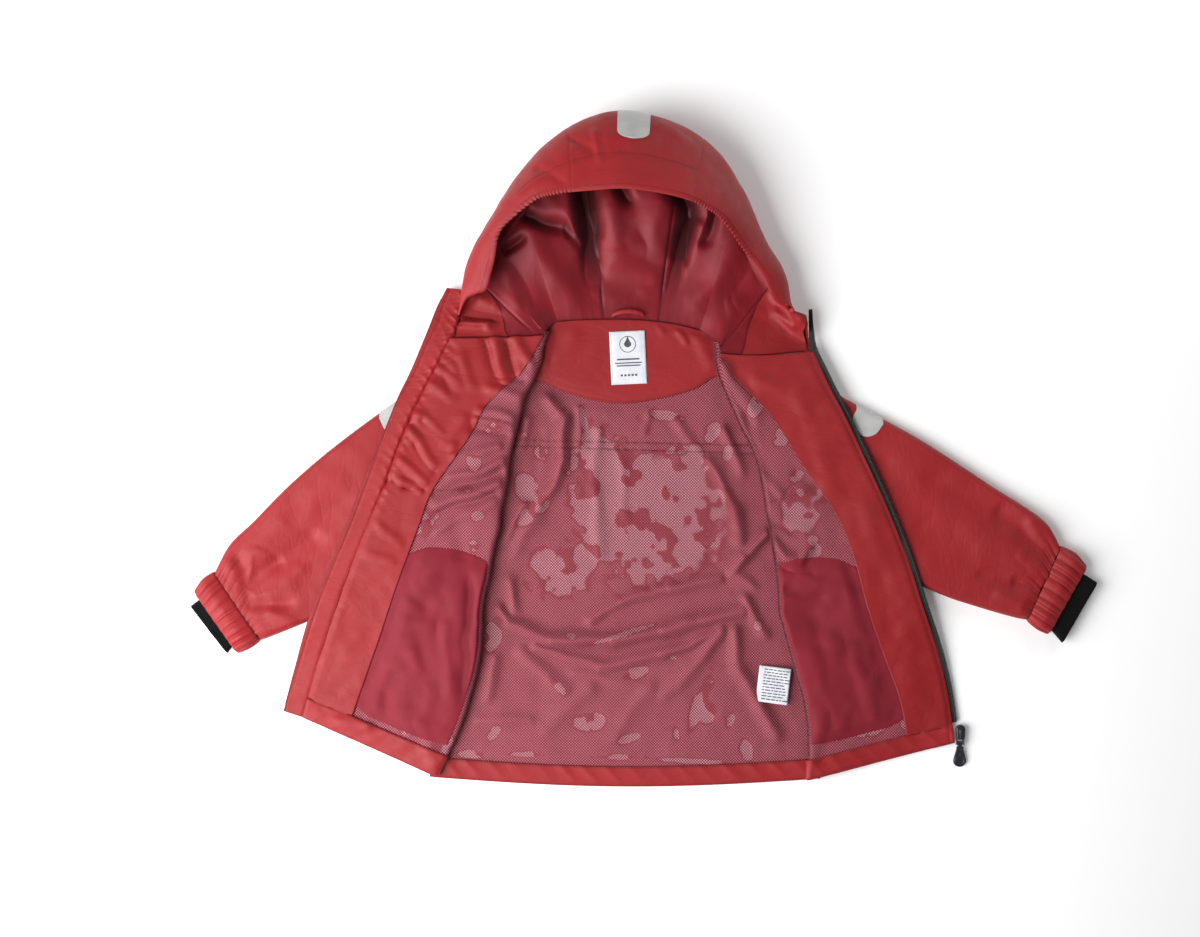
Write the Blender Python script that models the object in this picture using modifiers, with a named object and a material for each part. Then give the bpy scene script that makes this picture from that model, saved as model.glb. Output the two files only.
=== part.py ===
"""A child's hooded rain jacket, laid open on its back with both fronts turned out.

The back lies on the floor with its inside up. Each front folds in from its side seam, turns back
out along a soft fold and ends beyond the side seam, over the root of its sleeve. The hood stands
up behind the neck with its mouth to the hem. X runs across the jacket, Y from the hem to the
hood and Z up. Sizes below are in millimetres and the objects are in metres.
"""

import math

import bmesh
import bpy
import numpy as np

MM = 0.001

# Cloth and the room between layers
SHELL_T = 1.2
LINING_T = 1.0
SEAM_GAP = 0.3
LAYER_1 = SHELL_T / 2 + SEAM_GAP
LAYER_2 = LAYER_1 + LINING_T + SEAM_GAP
LAYER_3 = LAYER_2 + LINING_T + SEAM_GAP
FLOOR_Z = SHELL_T / 2

# Bands
HEM_BAND = 23.0
FACING_LAP = 8.0
FOLD_REACH = 5.5
UNDER_LINING_REACH = 30.0

# A front at ten heights, from hem to neck: side seam or armhole, fold, outer edge, width of the
# facing, sag of the section towards the hem, and heights of the cloth at each of these lines.
FRONT_COLUMNS = (
    "seam_x", "seam_y", "fold_x", "fold_y", "edge_x", "edge_y", "facing", "sag",
    "seam_z", "under_z", "fold_z", "facing_z", "edge_z",
)
FRONT_LEFT = (
    (-224, -352, -216, -350, -370, -283, 49, 0, 1.9, 5.0, 11.0, 4.5, 3.5),
    (-224, -290, -186, -285, -353, -224, 52, 0, 1.9, 6.0, 14.0, 7.0, 6.0),
    (-222, -232, -170, -229, -335, -172, 53, 0, 1.9, 6.5, 16.0, 12.5, 16.5),
    (-218, -161, -161, -150, -314, -113, 53, 0, 1.9, 6.5, 17.0, 17.5, 18.0),
    (-216, -99, -147, -80, -291, -57, 52, 0, 4.0, 6.5, 17.5, 18.0, 18.0),
    (-204, -40, -139, -31, -274, -16, 52, 0, 8.0, 7.5, 18.0, 18.0, 18.0),
    (-192, 23, -130, 26, -253, 41, 70, 0, 8.0, 7.5, 18.0, 17.5, 17.5),
    (-181, 80, -116, 77, -236, 79, 79, 0, 8.0, 7.5, 17.5, 17.0, 17.5),
    (-169, 129, -101, 115, -217, 115, 78, 2, 4.0, 6.5, 16.5, 16.0, 16.5),
    (-98, 159, -87, 159, -201, 151, 76, 4, 1.9, 6.5, 14.5, 15.0, 14.5),
)
FRONT_RIGHT = (
    (224, -354, 210, -354, 378, -312, 49, 0, 1.9, 5.0, 11.0, 4.5, 4.2),
    (224, -305, 208, -293, 370, -255, 51, 0, 1.9, 6.0, 13.0, 6.5, 4.2),
    (222, -241, 198, -244, 358, -207, 56, 0, 1.9, 6.5, 15.0, 9.0, 8.0),
    (220, -161, 179, -175, 339, -153, 58, 0, 1.9, 6.5, 17.0, 16.0, 16.5),
    (217, -76, 170, -103, 322, -101, 57, 0, 4.0, 6.5, 17.5, 18.0, 18.0),
    (205, -23, 161, -46, 301, -48, 59, 0, 8.0, 7.5, 18.0, 18.0, 18.0),
    (193, 29, 148, 17, 277, 6, 77, 0, 8.0, 7.5, 18.0, 17.5, 17.5),
    (182, 80, 123, 69, 253, 57, 86, 2, 8.0, 7.5, 17.5, 17.0, 17.5),
    (168, 133, 106, 113, 231, 100, 88, 6, 4.0, 6.5, 16.5, 16.0, 16.5),
    (112, 150, 101, 147, 215, 136, 86, 13, 1.9, 6.5, 14.5, 15.0, 14.5),
)
FRONT_ROWS = 15
FIRST_ROW_HEIGHT = 62.0
UNDER_STEPS, FOLD_STEPS, LINING_STEPS, FACING_STEPS = 2, 5, 4, 2
# Pocket bags: lean of the inner edge at the bottom, and first and last row of the front's grid
POCKET_BAGS = {"left": (0.36, 1.15, 5.8), "right": (0.08, 1.35, 5.2)}

# The storm flap beyond the left edge, on the rows of the front and on to the chin
FLAP_COLUMNS = ("crease_x", "crease_y", "crease_z", "edge_x", "edge_y", "edge_z")
FLAP = (
    (-370, -283, 3.5, -392, -276, 3.6),
    (-353, -224, 6.0, -378, -224, 5.2),
    (-335, -172, 16.5, -361, -170, 17.5),
    (-314, -113, 18.0, -339, -115, 18.0),
    (-291, -57, 18.0, -317, -61, 18.0),
    (-274, -16, 18.0, -300, -16, 18.0),
    (-253, 41, 17.5, -276, 41, 17.5),
    (-236, 79, 17.5, -259, 83, 17.0),
    (-217, 115, 16.5, -244, 115, 14.0),
    (-201, 151, 14.5, -225, 161, 12.0),
    (-193, 181, 11.5, -215, 187, 9.5),
    (-184, 206, 10.5, -204, 209, 9.0),
)
FLAP_GATHERS = 24
FLAP_GATHER_DEPTH = 0.9

# The right edge runs on past the neck to the chin
CHIN_RIGHT = ((212, 161, 14.0), (211, 184, 15.0))
TAPE_W = 3.6
CHAIN_W = 4.2
CHAIN_T = 2.6
ZIP_START = 0.39
ZIP_LEFT_W = 10.0
ZIP_LEFT_SHOWS = 1.2

# Back: hem below the straight line between the side seams, and the neck seam
BACK_HEM_DROP = 10.0
NECK_BACK = ((-78, 170), (-52, 172), (-25, 172.5), (6, 172.5), (38, 170), (63, 166), (86, 160))
NECK_FACING = (
    (-112, 96), (-98, 102), (-75, 92), (-38, 81), (0, 77), (46, 84), (80, 94), (103, 107), (118, 104),
)

# Flattened rings of a sleeve from armhole to cuff seam: upper and lower folds and height
RING_COLUMNS = ("top_x", "top_y", "low_x", "low_y", "height")
SLEEVE_LEFT = (
    (-170, 129, -217, -100, 9.2),
    (-213, 110, -245, -112, 11.5),
    (-261, 80, -280, -130, 13.0),
    (-310, 45, -318, -151, 14.0),
    (-352, 12, -350, -167, 14.5),
    (-390, -22, -378, -179, 15.5),
    (-425, -58, -398, -187, 17.0),
    (-452, -84, -411, -192, 18.0),
    (-470, -115, -417, -194, 17.0),
)
SLEEVE_RIGHT = (
    (169, 132, 217, -77, 9.2),
    (222, 100, 248, -91, 11.5),
    (273, 71, 290, -110, 13.0),
    (330, 40, 336, -131, 14.0),
    (378, 10, 372, -146, 14.5),
    (420, -18, 403, -156, 15.5),
    (455, -40, 430, -164, 17.0),
    (482, -60, 449, -169, 18.0),
    (498, -86, 459, -171, 17.0),
)
SLEEVE_ROWS = 19
RUN_STEPS, TURN_STEPS = 5, 4

# Gathered cuff and knitted rib: upper and lower ends of their rings, from the seam outwards
CUFF_LEFT = (
    (-470, -115, -417, -194, 17.0),
    (-483, -124, -429, -203, 21.0),
    (-493, -138, -443, -209, 17.0),
)
CUFF_RIGHT = (
    (498, -86, 459, -171, 17.0),
    (515, -95, 471, -181, 21.0),
    (528, -109, 484, -187, 17.0),
)
RIB_LEFT = ((-478, -141, -444, -191, 10.0), (-497, -155, -455, -209, 11.0))
RIB_RIGHT = ((515, -112, 480, -173, 10.0), (540, -128, 500, -197, 11.0))
CUFF_GATHERS = 19
GATHER_DEPTH = 1.2
CUFF_STEPS = 57
RIB_STEPS = 20

# Hood stations from the left front edge round to the right one: turn and lip of the mouth, and
# the height at which the cloth lies between the neck seam and the turn.
HOOD_COLUMNS = ("turn_x", "turn_y", "turn_z", "lip_x", "lip_y", "lip_z", "lies_z")
HOOD = (
    (-190, 176, 17.0, -182, 196, 21.0, 7.0),
    (-184, 207, 26.0, -165, 203, 40.0, 6.0),
    (-179, 237, 27.0, -155, 232, 50.0, 4.0),
    (-165, 266, 28.0, -144, 268, 62.0, 1.2),
    (-125, 328, 32.0, -107, 301, 80.0, 0.6),
    (-87, 370, 37.0, -77, 309, 90.0, 0.6),
    (-40, 397, 42.0, -40, 312, 96.0, 0.6),
    (9, 403, 44.0, 4, 313, 100.0, 0.6),
    (66, 386, 42.0, 57, 305, 97.0, 0.6),
    (104, 359, 38.0, 88, 294, 90.0, 0.6),
    (132, 319, 34.0, 111, 279, 82.0, 0.6),
    (158, 263, 30.0, 136, 249, 64.0, 1.2),
    (181, 222, 29.0, 157, 222, 56.0, 4.0),
    (190, 187, 27.0, 177, 188, 42.0, 6.0),
    (208, 158, 22.0, 205, 176, 30.0, 7.0),
)
FRONT_STATIONS = ((0, 4.0), (1, 3.4), (2, 2.8), (3, 2.1))
HOOD_STEP = 0.5
HOOD_RUN, HOOD_TURN, HOOD_BAND = 5, 4, 5
BAND_LEAN = 0.25
HOOD_PANEL = (5.5, 8.5)
HOOD_LINING_PANEL = (6.0, 8.0)
HOOD_FACING = (1.5, 12.0)
HOOD_EASE = ((0.0, 0.3), (1.5, 0.8), (3.0, 0.3), (11.0, 0.3), (12.5, 0.6), (14.0, 0.6))
CASING_START = 0.12
CASING_ENDS = (1.0, 13.0)
HOOD_REFLECTOR_STATION = 7.35
HOOD_REFLECTOR_ROWS = (2.6, 6.0)
LIP_GATHERS = ((1.6, 5.2, 12), (9.0, 12.6, 14))
LIP_GATHER_DEPTH = 1.0

# Large soft folds, along a line and fading to both sides: from_x, from_y, to_x, to_y, half_width
# and rise, which is below zero for a trough
SLEEVE_FOLDS_LEFT = (
    (-356, -76, -398, -104, 13, -4.0),
    (-398, -104, -431, -131, 12, -5.0),
    (-438, -104, -432, -146, 9, -4.0),
    (-428, -152, -388, -152, 9, -3.5),
    (-418, -92, -446, -112, 10, 2.0),
)
SLEEVE_FOLDS_RIGHT = (
    (355, -14, 400, -34, 16, -3.0),
    (456, -60, 484, -96, 12, -1.5),
)
BACK_FOLDS = (
    (-112, -178, -52, -212, 17, 5.0),
    (-52, -212, 30, -208, 18, 5.5),
    (30, -208, 84, -180, 18, 5.5),
    (84, -180, 128, -160, 16, 5.0),
    (-40, -160, 40, -134, 17, 3.5),
    (40, -134, 110, -116, 17, 4.5),
    (92, 8, 122, -72, 15, 4.0),
    (122, -72, 140, -140, 16, 5.0),
    (-62, 52, -68, 18, 13, 3.5),
    (-68, 18, -98, -46, 17, 4.5),
    (-98, -46, -128, -104, 16, 4.0),
    (-120, -206, -64, -262, 17, 3.5),
    (92, -214, 50, -296, 17, 3.5),
)
HOOD_FOLDS = (
    (-118, 272, -66, 196, 17, 7.0),
    (-150, 246, -122, 196, 14, 4.5),
    (-14, 232, 24, 214, 14, 4.0),
    (-20, 300, -12, 250, 13, 5.0),
    (136, 260, 90, 196, 17, 7.0),
    (38, 296, 34, 236, 13, 4.5),
)
LINING_ROWS, LINING_COLUMNS = 22, 18

# Small pieces
LABEL_X, LABEL_Y, LABEL_SIZE = 3.5, 129.5, (41.0, 61.0)
CARE_X, CARE_Y, CARE_SIZE = 171.0, -246.0, (36.0, 41.0)
LOOP_ENDS, LOOP_W, LOOP_RISE, LOOP_T = (-15.0, 22.0), 5.0, 3.2, 1.4
REFLECTOR_T = 1.0
REFLECTOR_R = 16.0
REFLECTOR_EASE = 0.6
REFLECTOR_ROW = 2.2
REFLECTOR_STEPS = (1.25, 2.0, 2.17)
ROOT_GAP = 1.8
FACING_GAP = 1.4
NECK_GAP = 0.9
RIB_LIFT = 2.8
SLIDER_AT = (385.0, -300.0)
SLIDER_SIZE = (10.2, 17.0)
PIN_AT = (384.2, -312.5, 5.2)
PIN_R, KNUCKLE_R, KNUCKLE_L = 1.1, 2.3, 5.0
TAB_LENGTH, TAB_W, TAB_NECK, TAB_T = 28.0, 15.0, 8.5, 2.0
TAB_DROOP = 7.0
LUG_T = 1.8
SLIDER_Z, SLIDER_H = 4.6, 6.4

COLOURS = {
    "shell": (0.46, 0.055, 0.055, 1.0),
    "mesh": (0.33, 0.05, 0.075, 1.0),
    "knit": (0.25, 0.018, 0.045, 1.0),
    "satin": (0.22, 0.018, 0.035, 1.0),
    "rib": (0.012, 0.012, 0.013, 1.0),
    "zip": (0.015, 0.016, 0.018, 1.0),
    "metal": (0.055, 0.055, 0.075, 1.0),
    "reflector": (0.5, 0.5, 0.49, 1.0),
    "label": (0.85, 0.85, 0.85, 1.0),
}
ROUGHNESS = {"satin": 0.35, "zip": 0.45, "metal": 0.35, "reflector": 0.3}


# ---------------------------------------------------------------- curves and grids


def read(table, columns, names):
    """The named columns of a table, as an array with one row a section."""
    return np.array(table, float)[:, [columns.index(name) for name in names]]


def through(points, at):
    """A smooth curve through the rows of points, read at fractional row numbers."""
    points = np.asarray(points, float)
    at = np.clip(np.asarray(at, float), 0, len(points) - 1)
    low = np.minimum(at.astype(int), len(points) - 2)
    part = (at - low)[..., None]
    ends = (2 * points[:1] - points[1:2], points, 2 * points[-1:] - points[-2:-1])
    padded = np.concatenate(ends)
    a, b, c, d = (padded[low + step] for step in range(4))
    curve = 2 * b + (c - a) * part + (2 * a - 5 * b + 4 * c - d) * part**2
    return 0.5 * (curve + (3 * b - a - 3 * c + d) * part**3)


def unit(vectors):
    return vectors / np.maximum(np.linalg.norm(vectors, axis=-1, keepdims=True), 1e-9)


def normals(grid, closed=False):
    """Unit normals of a grid: its row direction crossed with its column direction."""
    down = np.gradient(grid, axis=0)
    if closed:
        across = (np.roll(grid, -1, axis=1) - np.roll(grid, 1, axis=1)) / 2
    else:
        across = np.gradient(grid, axis=1)
    return unit(np.cross(down, across))


def moved(grid, side, distance, closed=False):
    """The grid moved along its normals, to the given side."""
    return grid + normals(grid, closed) * side * distance


def drawn_in(grid, first_row=0.0, last_row=0.0, first_column=0.0, last_column=0.0):
    """The grid with its borders drawn in along the surface by the given widths."""
    grid = grid.copy()
    for axis, (start, end) in enumerate(((first_row, last_row), (first_column, last_column))):
        lines = np.moveaxis(grid, axis, 0)
        lines[0] += unit(lines[1] - lines[0]) * start
        lines[-1] += unit(lines[-2] - lines[-1]) * end
    return grid


def on_facets(grid, rows, columns, closed=False):
    """Points on the flat facets of a grid, at fractional row and column numbers."""
    rows, columns = np.broadcast_arrays(np.asarray(rows, float), np.asarray(columns, float))
    low = np.clip(rows.astype(int), 0, grid.shape[0] - 2)
    left = columns.astype(int) if closed else np.clip(columns.astype(int), 0, grid.shape[1] - 2)
    down, across = (rows - low)[..., None], (columns - left)[..., None]
    left, right = left % grid.shape[1], (left + 1) % grid.shape[1]
    upper = grid[low, left] * (1 - across) + grid[low, right] * across
    lower = grid[low + 1, left] * (1 - across) + grid[low + 1, right] * across
    return upper * (1 - down) + lower * down


def fold_heights(grid, folds):
    """The rise of a table of soft folds at the points of a grid, from their plan.

    Where two ridges or two troughs meet, the larger one counts.
    """
    plan, ridges, troughs = grid[..., :2], 0.0, 0.0
    for from_x, from_y, to_x, to_y, half_width, rise in folds:
        start = np.array((from_x, from_y))
        run = np.array((to_x, to_y)) - start
        part = np.clip((plan - start) @ run / (run @ run), 0, 1)
        away = np.linalg.norm(plan - start - part[..., None] * run, axis=-1)
        height = rise * np.exp(-(away / half_width) ** 2)
        ridges, troughs = np.maximum(ridges, height), np.minimum(troughs, height)
    return ridges + troughs


def material(finish):
    """The Principled material of a finish, made once."""
    made = bpy.data.materials.get(finish) or bpy.data.materials.new(finish)
    made.use_nodes = True
    made.diffuse_color = COLOURS[finish]
    shader = made.node_tree.nodes["Principled BSDF"]
    shader.inputs["Base Color"].default_value = COLOURS[finish]
    shader.inputs["Roughness"].default_value = ROUGHNESS.get(finish, 0.75)
    shader.inputs["Metallic"].default_value = 0.6 if finish == "metal" else 0.0
    return made


def add_mesh(name, points, faces, finish):
    mesh = bpy.data.meshes.new(name)
    mesh.from_pydata((np.asarray(points).reshape(-1, 3) * MM).tolist(), [], faces)
    mesh.shade_smooth()
    mesh.materials.append(material(finish))
    piece = bpy.data.objects.new(name, mesh)
    jacket.objects.link(piece)
    return piece


def grid_faces(rows, columns, side, closed):
    """Quads of a grid, turned so that their normals point to the given side."""
    faces = []
    for row in range(rows - 1):
        for column in range(columns if closed else columns - 1):
            after = (column + 1) % columns
            quad = [row * columns + column, (row + 1) * columns + column,
                    (row + 1) * columns + after, row * columns + after]
            faces.append(quad if side > 0 else quad[::-1])
    return faces


def cloth(name, grid, side, thickness, finish, grow=1.0, closed=False):
    """A wall on a grid. It grows along the normals (1), against them (-1) or both ways (0)."""
    rows, columns = grid.shape[:2]
    piece = add_mesh(name, grid, grid_faces(rows, columns, side, closed), finish)
    wall = piece.modifiers.new("Wall", "SOLIDIFY")
    wall.thickness = thickness * MM
    wall.offset = grow
    return piece


# ---------------------------------------------------------------- fronts


def front_surface(table, rows, steps):
    """Points of a front at the given rows and steps across it.

    Steps 0 to 1 run from the seam in under the fold, 1 to 2 round the fold on a half ellipse,
    2 to 3 out over it to the facing and 3 to 4 over the facing to the outer edge.
    """
    rows, steps = np.asarray(rows, float), np.asarray(steps, float)
    seam, fold, edge = (through(read(table, FRONT_COLUMNS, pair), rows)[:, None] for pair in (
        ("seam_x", "seam_y"), ("fold_x", "fold_y"), ("edge_x", "edge_y")))
    facing, sag, seam_z, under_z, fold_z, facing_z, edge_z = (
        through(read(table, FRONT_COLUMNS, FRONT_COLUMNS[6:]), rows).T[:, :, None])
    out = unit(edge - fold)
    centre = fold + out * FOLD_REACH
    line = edge - out * facing[..., None]
    under = np.clip(steps, 0, 1)[None, :]
    turn = np.clip(steps - 1, 0, 1)[None, :] * math.pi
    over = np.clip(steps - 2, 0, 1)[None, :, None]
    faced = np.clip(steps - 3, 0, 1)[None, :, None]
    plan = seam + (centre - seam) * under[..., None]
    plan = plan - out * FOLD_REACH * np.sin(turn)[..., None]
    plan = plan + (line - centre) * over + (edge - line) * faced
    across = np.clip(steps - 2, 0, 2)[None, :] / 2
    plan[..., 1] -= sag * 4 * across * (1 - across)
    lift = seam_z + (under_z - seam_z) * (1 - (1 - under) ** 2)
    lift = lift + (fold_z - under_z) * (1 - np.cos(turn)) / 2
    heights = np.stack([fold_z[:, 0], facing_z[:, 0], edge_z[:, 0]])
    draped = through(heights, np.clip(steps - 2, 0, 2)).T
    lift = np.where(steps[None, :] > 2, draped, lift)
    return np.dstack([plan, lift])


def front_steps():
    counts = ((0, UNDER_STEPS), (1, FOLD_STEPS), (2, LINING_STEPS), (3, FACING_STEPS))
    return np.concatenate([np.linspace(k, k + 1, n, endpoint=False) for k, n in counts] + [[4.0]])


def front_rows():
    """Rows up a front, with one on the upper line of the hem band."""
    top = len(FRONT_LEFT) - 1
    band = HEM_BAND / FIRST_ROW_HEIGHT
    return np.concatenate([[0.0], np.linspace(band, top, FRONT_ROWS - 1)])


def build_front(side_name, table, side):
    rows, steps = front_rows(), front_steps()
    grid = front_surface(table, rows, steps)
    shell = drawn_in(grid, last_row=SEAM_GAP, first_column=SEAM_GAP, last_column=SEAM_GAP)
    cloth(f"front_shell_{side_name}", shell, side, SHELL_T, "shell", 0)
    layer = moved(grid, side, LAYER_1)
    first = UNDER_STEPS
    last = UNDER_STEPS + FOLD_STEPS + LINING_STEPS
    gap = SEAM_GAP / 2
    band = drawn_in(layer[:2, first:], last_row=gap, last_column=SEAM_GAP)
    cloth(f"front_hem_band_{side_name}", band, side, SHELL_T, "shell")
    lining = drawn_in(layer[1:, first:last + 1], gap, SEAM_GAP, 0, gap)
    cloth(f"front_lining_{side_name}", lining, side, LINING_T, "mesh")
    facing = drawn_in(layer[1:, last:], gap, SEAM_GAP, gap, SEAM_GAP)
    cloth(f"front_facing_{side_name}", facing, side, SHELL_T, "shell")
    build_pocket_bag(side_name, side, grid)


def build_pocket_bag(side_name, side, grid):
    """The knitted bag that lies on the lining between the fold and the facing."""
    lean, bottom, top = POCKET_BAGS[side_name]
    first = UNDER_STEPS + FOLD_STEPS
    rows = np.linspace(bottom, top, 7)[:, None]
    shift = lean * (1 - (rows - bottom) / (top - bottom))
    part = shift + (1 - shift) * np.linspace(0.0, 1.0, 6)[None, :]
    bag = on_facets(grid, rows, first + part * (LINING_STEPS - 0.15))
    bag = moved(bag, side, LAYER_2 + SEAM_GAP)
    cloth(f"pocket_bag_{side_name}", bag, side, LINING_T, "knit")


# ---------------------------------------------------------------- back


def back_sides(rows):
    left = through(read(FRONT_LEFT, FRONT_COLUMNS, ("seam_x", "seam_y")), rows)
    right = through(read(FRONT_RIGHT, FRONT_COLUMNS, ("seam_x", "seam_y")), rows)
    return left, right


def neck_y(x):
    """The height of the neck seam over the back at x."""
    seam = through(NECK_BACK, np.linspace(0, len(NECK_BACK) - 1, 60))
    ends = np.concatenate([[(-98, 160)], seam, [(112, 150)]])
    return np.interp(x, ends[:, 0], ends[:, 1])


def hem_y(x):
    """The lower edge of the back at x: a shallow arc below the side seams."""
    across = np.clip((np.asarray(x) + 224.0) / 448.0, 0, 1)
    return -352.0 - 2.0 * across - BACK_HEM_DROP * np.sin(math.pi * across)


def build_back():
    rows = np.concatenate([[0.0], np.linspace(0.5, 8, 10), [8.5, 9.0]])
    left, right = back_sides(rows)
    across = np.linspace(0, 1, 12)[None, :, None]
    plan = left[:, None] + (right - left)[:, None] * across
    low = np.clip(1 - rows / 2, 0, 1)[:, None]
    high = np.clip(rows - 8, 0, 1)[:, None]
    plan[..., 1] += low * (hem_y(plan[..., 0]) - plan[..., 1])
    plan[..., 1] += high * (neck_y(plan[..., 0]) - plan[..., 1])
    grid = np.dstack([plan, np.full(plan.shape[:2], FLOOR_Z)])
    cloth("back_shell", drawn_in(grid, 0, SEAM_GAP, SEAM_GAP, SEAM_GAP), -1, SHELL_T, "shell", 0)


def lining_limits(y):
    """The left and right edges of the back lining at y, a little way in under both folds."""
    limits = []
    for table, out in ((FRONT_LEFT, -1), (FRONT_RIGHT, 1)):
        rows = np.linspace(0, len(table) - 1, 200)
        fold = through(read(table, FRONT_COLUMNS, ("fold_x", "fold_y")), rows)
        seam = through(read(table, FRONT_COLUMNS, ("seam_x", "seam_y")), rows)
        reach = np.interp(y, fold[:, 1], fold[:, 0]) + out * UNDER_LINING_REACH
        seam_x, fold_x = (np.interp(y, line[:, 1], line[:, 0]) for line in (seam, fold))
        stop = seam_x - out * np.clip(0.35 * np.abs(seam_x - fold_x), 4.5, 12.0)
        limits.append(np.where(out * reach < out * stop, reach, stop))
    return limits


def flat_between(low, high, rows, columns, z, limits):
    """A flat grid between a lower and an upper line, each a function of x."""
    part = np.linspace(0, 1, rows)[:, None]
    across = np.linspace(0, 1, columns)[None, :]
    left, right = limits(low(0.0) + (high(0.0) - low(0.0)) * part)
    x = left + (right - left) * across
    return np.dstack([x, low(x) + (high(x) - low(x)) * part, np.full(x.shape, z)])


def facing_y(x):
    """The lower edge of the back neck facing at x."""
    arc = through(NECK_FACING, np.linspace(0, len(NECK_FACING) - 1, 80))
    return np.interp(x, arc[:, 0], arc[:, 1])


def facing_limits(y):
    """The sides of the back neck facing at y, just in under both folds."""
    rows = np.linspace(0, len(FRONT_LEFT) - 1, 200)
    left, right = (through(read(table, FRONT_COLUMNS, ("fold_x", "fold_y")), rows)
                   for table in (FRONT_LEFT, FRONT_RIGHT))
    return (np.interp(y, left[:, 1], left[:, 0]) - FOLD_REACH,
            np.interp(y, right[:, 1], right[:, 0]) + FOLD_REACH)


def band_top(x):
    return hem_y(x) + HEM_BAND


def build_back_inside():
    """The hem band, the net lining above it and, over the lining's top, the neck facing."""
    z = FLOOR_Z + LAYER_1
    band = flat_between(lambda x: hem_y(x) + SEAM_GAP, band_top, 2, 13, z, lining_limits)
    cloth("back_hem_band", band, -1, SHELL_T, "shell")
    lining = flat_between(lambda x: band_top(x) + SEAM_GAP, lambda x: facing_y(x) + FACING_LAP,
                          LINING_ROWS, LINING_COLUMNS, z, lining_limits)
    lining[..., 2] += fold_heights(lining, BACK_FOLDS)
    cloth("back_lining", lining, -1, LINING_T, "mesh")
    facing = flat_between(facing_y, lambda x: neck_y(x) - FACING_GAP, 4, 14,
                          FLOOR_Z + LAYER_2, facing_limits)
    cloth("back_neck_facing", facing, -1, SHELL_T, "shell")


# ---------------------------------------------------------------- flap and zip


def flap_lines(rows):
    crease = through(read(FLAP, FLAP_COLUMNS, FLAP_COLUMNS[:3]), rows)
    edge = through(read(FLAP, FLAP_COLUMNS, FLAP_COLUMNS[3:]), rows)
    return crease, edge


def build_flap():
    rows = np.linspace(0, len(FLAP) - 1, FLAP_GATHERS * 3 + 1)
    crease, edge = flap_lines(rows)
    part = np.linspace(0, 1, 3)
    grid = crease[:, None] + (edge - crease)[:, None] * part[None, :, None]
    wave = FLAP_GATHER_DEPTH * (1 + np.cos(2 * math.pi * np.arange(len(rows)) / 3)) / 2
    grid[..., 2] += wave[:, None] * (1 - part)[None, :]
    cloth("storm_flap", drawn_in(grid, 0, 0, SEAM_GAP, 0), 1, SHELL_T, "shell", 0)


def build_left_zip():
    """The left half of the zip lies under the flap and just shows past its edge."""
    rows = np.linspace(0.15, len(FLAP) - 1.6, 20)
    crease, edge = flap_lines(rows)
    out = unit(edge - crease)
    lines = [edge + out * reach for reach in (-ZIP_LEFT_W, -4.0, ZIP_LEFT_SHOWS)]
    grid = moved(np.stack(lines, axis=1), -1, SHELL_T / 2 + 3 * SEAM_GAP)
    cloth("zip_tape_left", grid, 1, LINING_T, "zip", -1)


def right_edge(at):
    """The outer edge of the right front and, past the neck, of the chin."""
    edge = read(FRONT_RIGHT, FRONT_COLUMNS, ("edge_x", "edge_y", "edge_z"))
    return through(np.concatenate([edge, CHIN_RIGHT]), at)


def build_right_zip():
    at = np.linspace(ZIP_START, len(FRONT_RIGHT) + len(CHIN_RIGHT) - 1, 24)
    line = right_edge(at)
    along = unit(np.gradient(line, axis=0))
    out = unit(np.cross(along, [0.0, 0.0, 1.0]))
    tape = np.stack([line + out * reach for reach in (SEAM_GAP, TAPE_W)], axis=1)
    cloth("zip_tape_right", tape, -1, LINING_T, "zip", 0)
    chain = np.stack([line + out * (TAPE_W + SEAM_GAP + reach) for reach in (0, CHAIN_W)], axis=1)
    cloth("zip_chain_right", chain, -1, CHAIN_T, "zip", 0)


def rounded_plate(name, outline, z, thickness, finish):
    """A flat plate from a 2D curve of its outline."""
    curve = bpy.data.curves.new(name, "CURVE")
    curve.dimensions = "2D"
    curve.fill_mode = "BOTH"
    curve.extrude = thickness / 2 * MM
    spline = curve.splines.new("POLY")
    spline.points.add(len(outline) - 1)
    for point, (x, y) in zip(spline.points, outline):
        point.co = (x * MM, y * MM, 0.0, 1.0)
    spline.use_cyclic_u = True
    plate = bpy.data.objects.new(name, curve)
    plate.location = (0.0, 0.0, z * MM)
    curve.materials.append(material(finish))
    jacket.objects.link(plate)
    return plate


# ---------------------------------------------------------------- sleeves


def flat_ring(top, low, height, steps):
    """Points of a flattened ring that lies on the floor, at steps 0 to 4 round it.

    Steps 0 to 1 run along the floor from the lower fold to the upper one, 1 to 2 turn up round
    it on a half circle, 2 to 3 come back over and 3 to 4 turn down round the lower fold.
    """
    steps = np.asarray(steps, float)
    out = unit(top - low)
    radius = height / 2
    first, second = low + out * radius, top - out * radius
    kind = np.minimum(steps.astype(int), 3)
    part = steps - kind
    angle = part * math.pi
    run = np.where((kind == 0)[:, None], first + (second - first) * part[:, None],
                   second + (first - second) * part[:, None])
    bulge = np.sin(angle)[:, None] * out * radius
    plan = np.where((kind == 1)[:, None], second + bulge, run)
    plan = np.where((kind == 3)[:, None], first - bulge, plan)
    turn = radius * (1 - np.cos(angle))
    z = np.select([kind == 0, kind == 1, kind == 2], [0 * part, turn, height + 0 * part],
                  height - turn)
    return np.column_stack([plan, z])


def ring_steps(run, turn):
    counts = ((0, run), (1, turn), (2, run), (3, turn))
    return np.concatenate([np.linspace(k, k + 1, n, endpoint=False) for k, n in counts])


def tube(table, rows, steps):
    """Flattened rings at the given rows of a table with the columns of a ring."""
    top, low, height = (through(read(table, RING_COLUMNS, names), rows) for names in (
        ("top_x", "top_y"), ("low_x", "low_y"), ("height",)))
    return np.stack([flat_ring(*sizes, steps) for sizes in zip(top, low, height[:, 0])])


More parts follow.
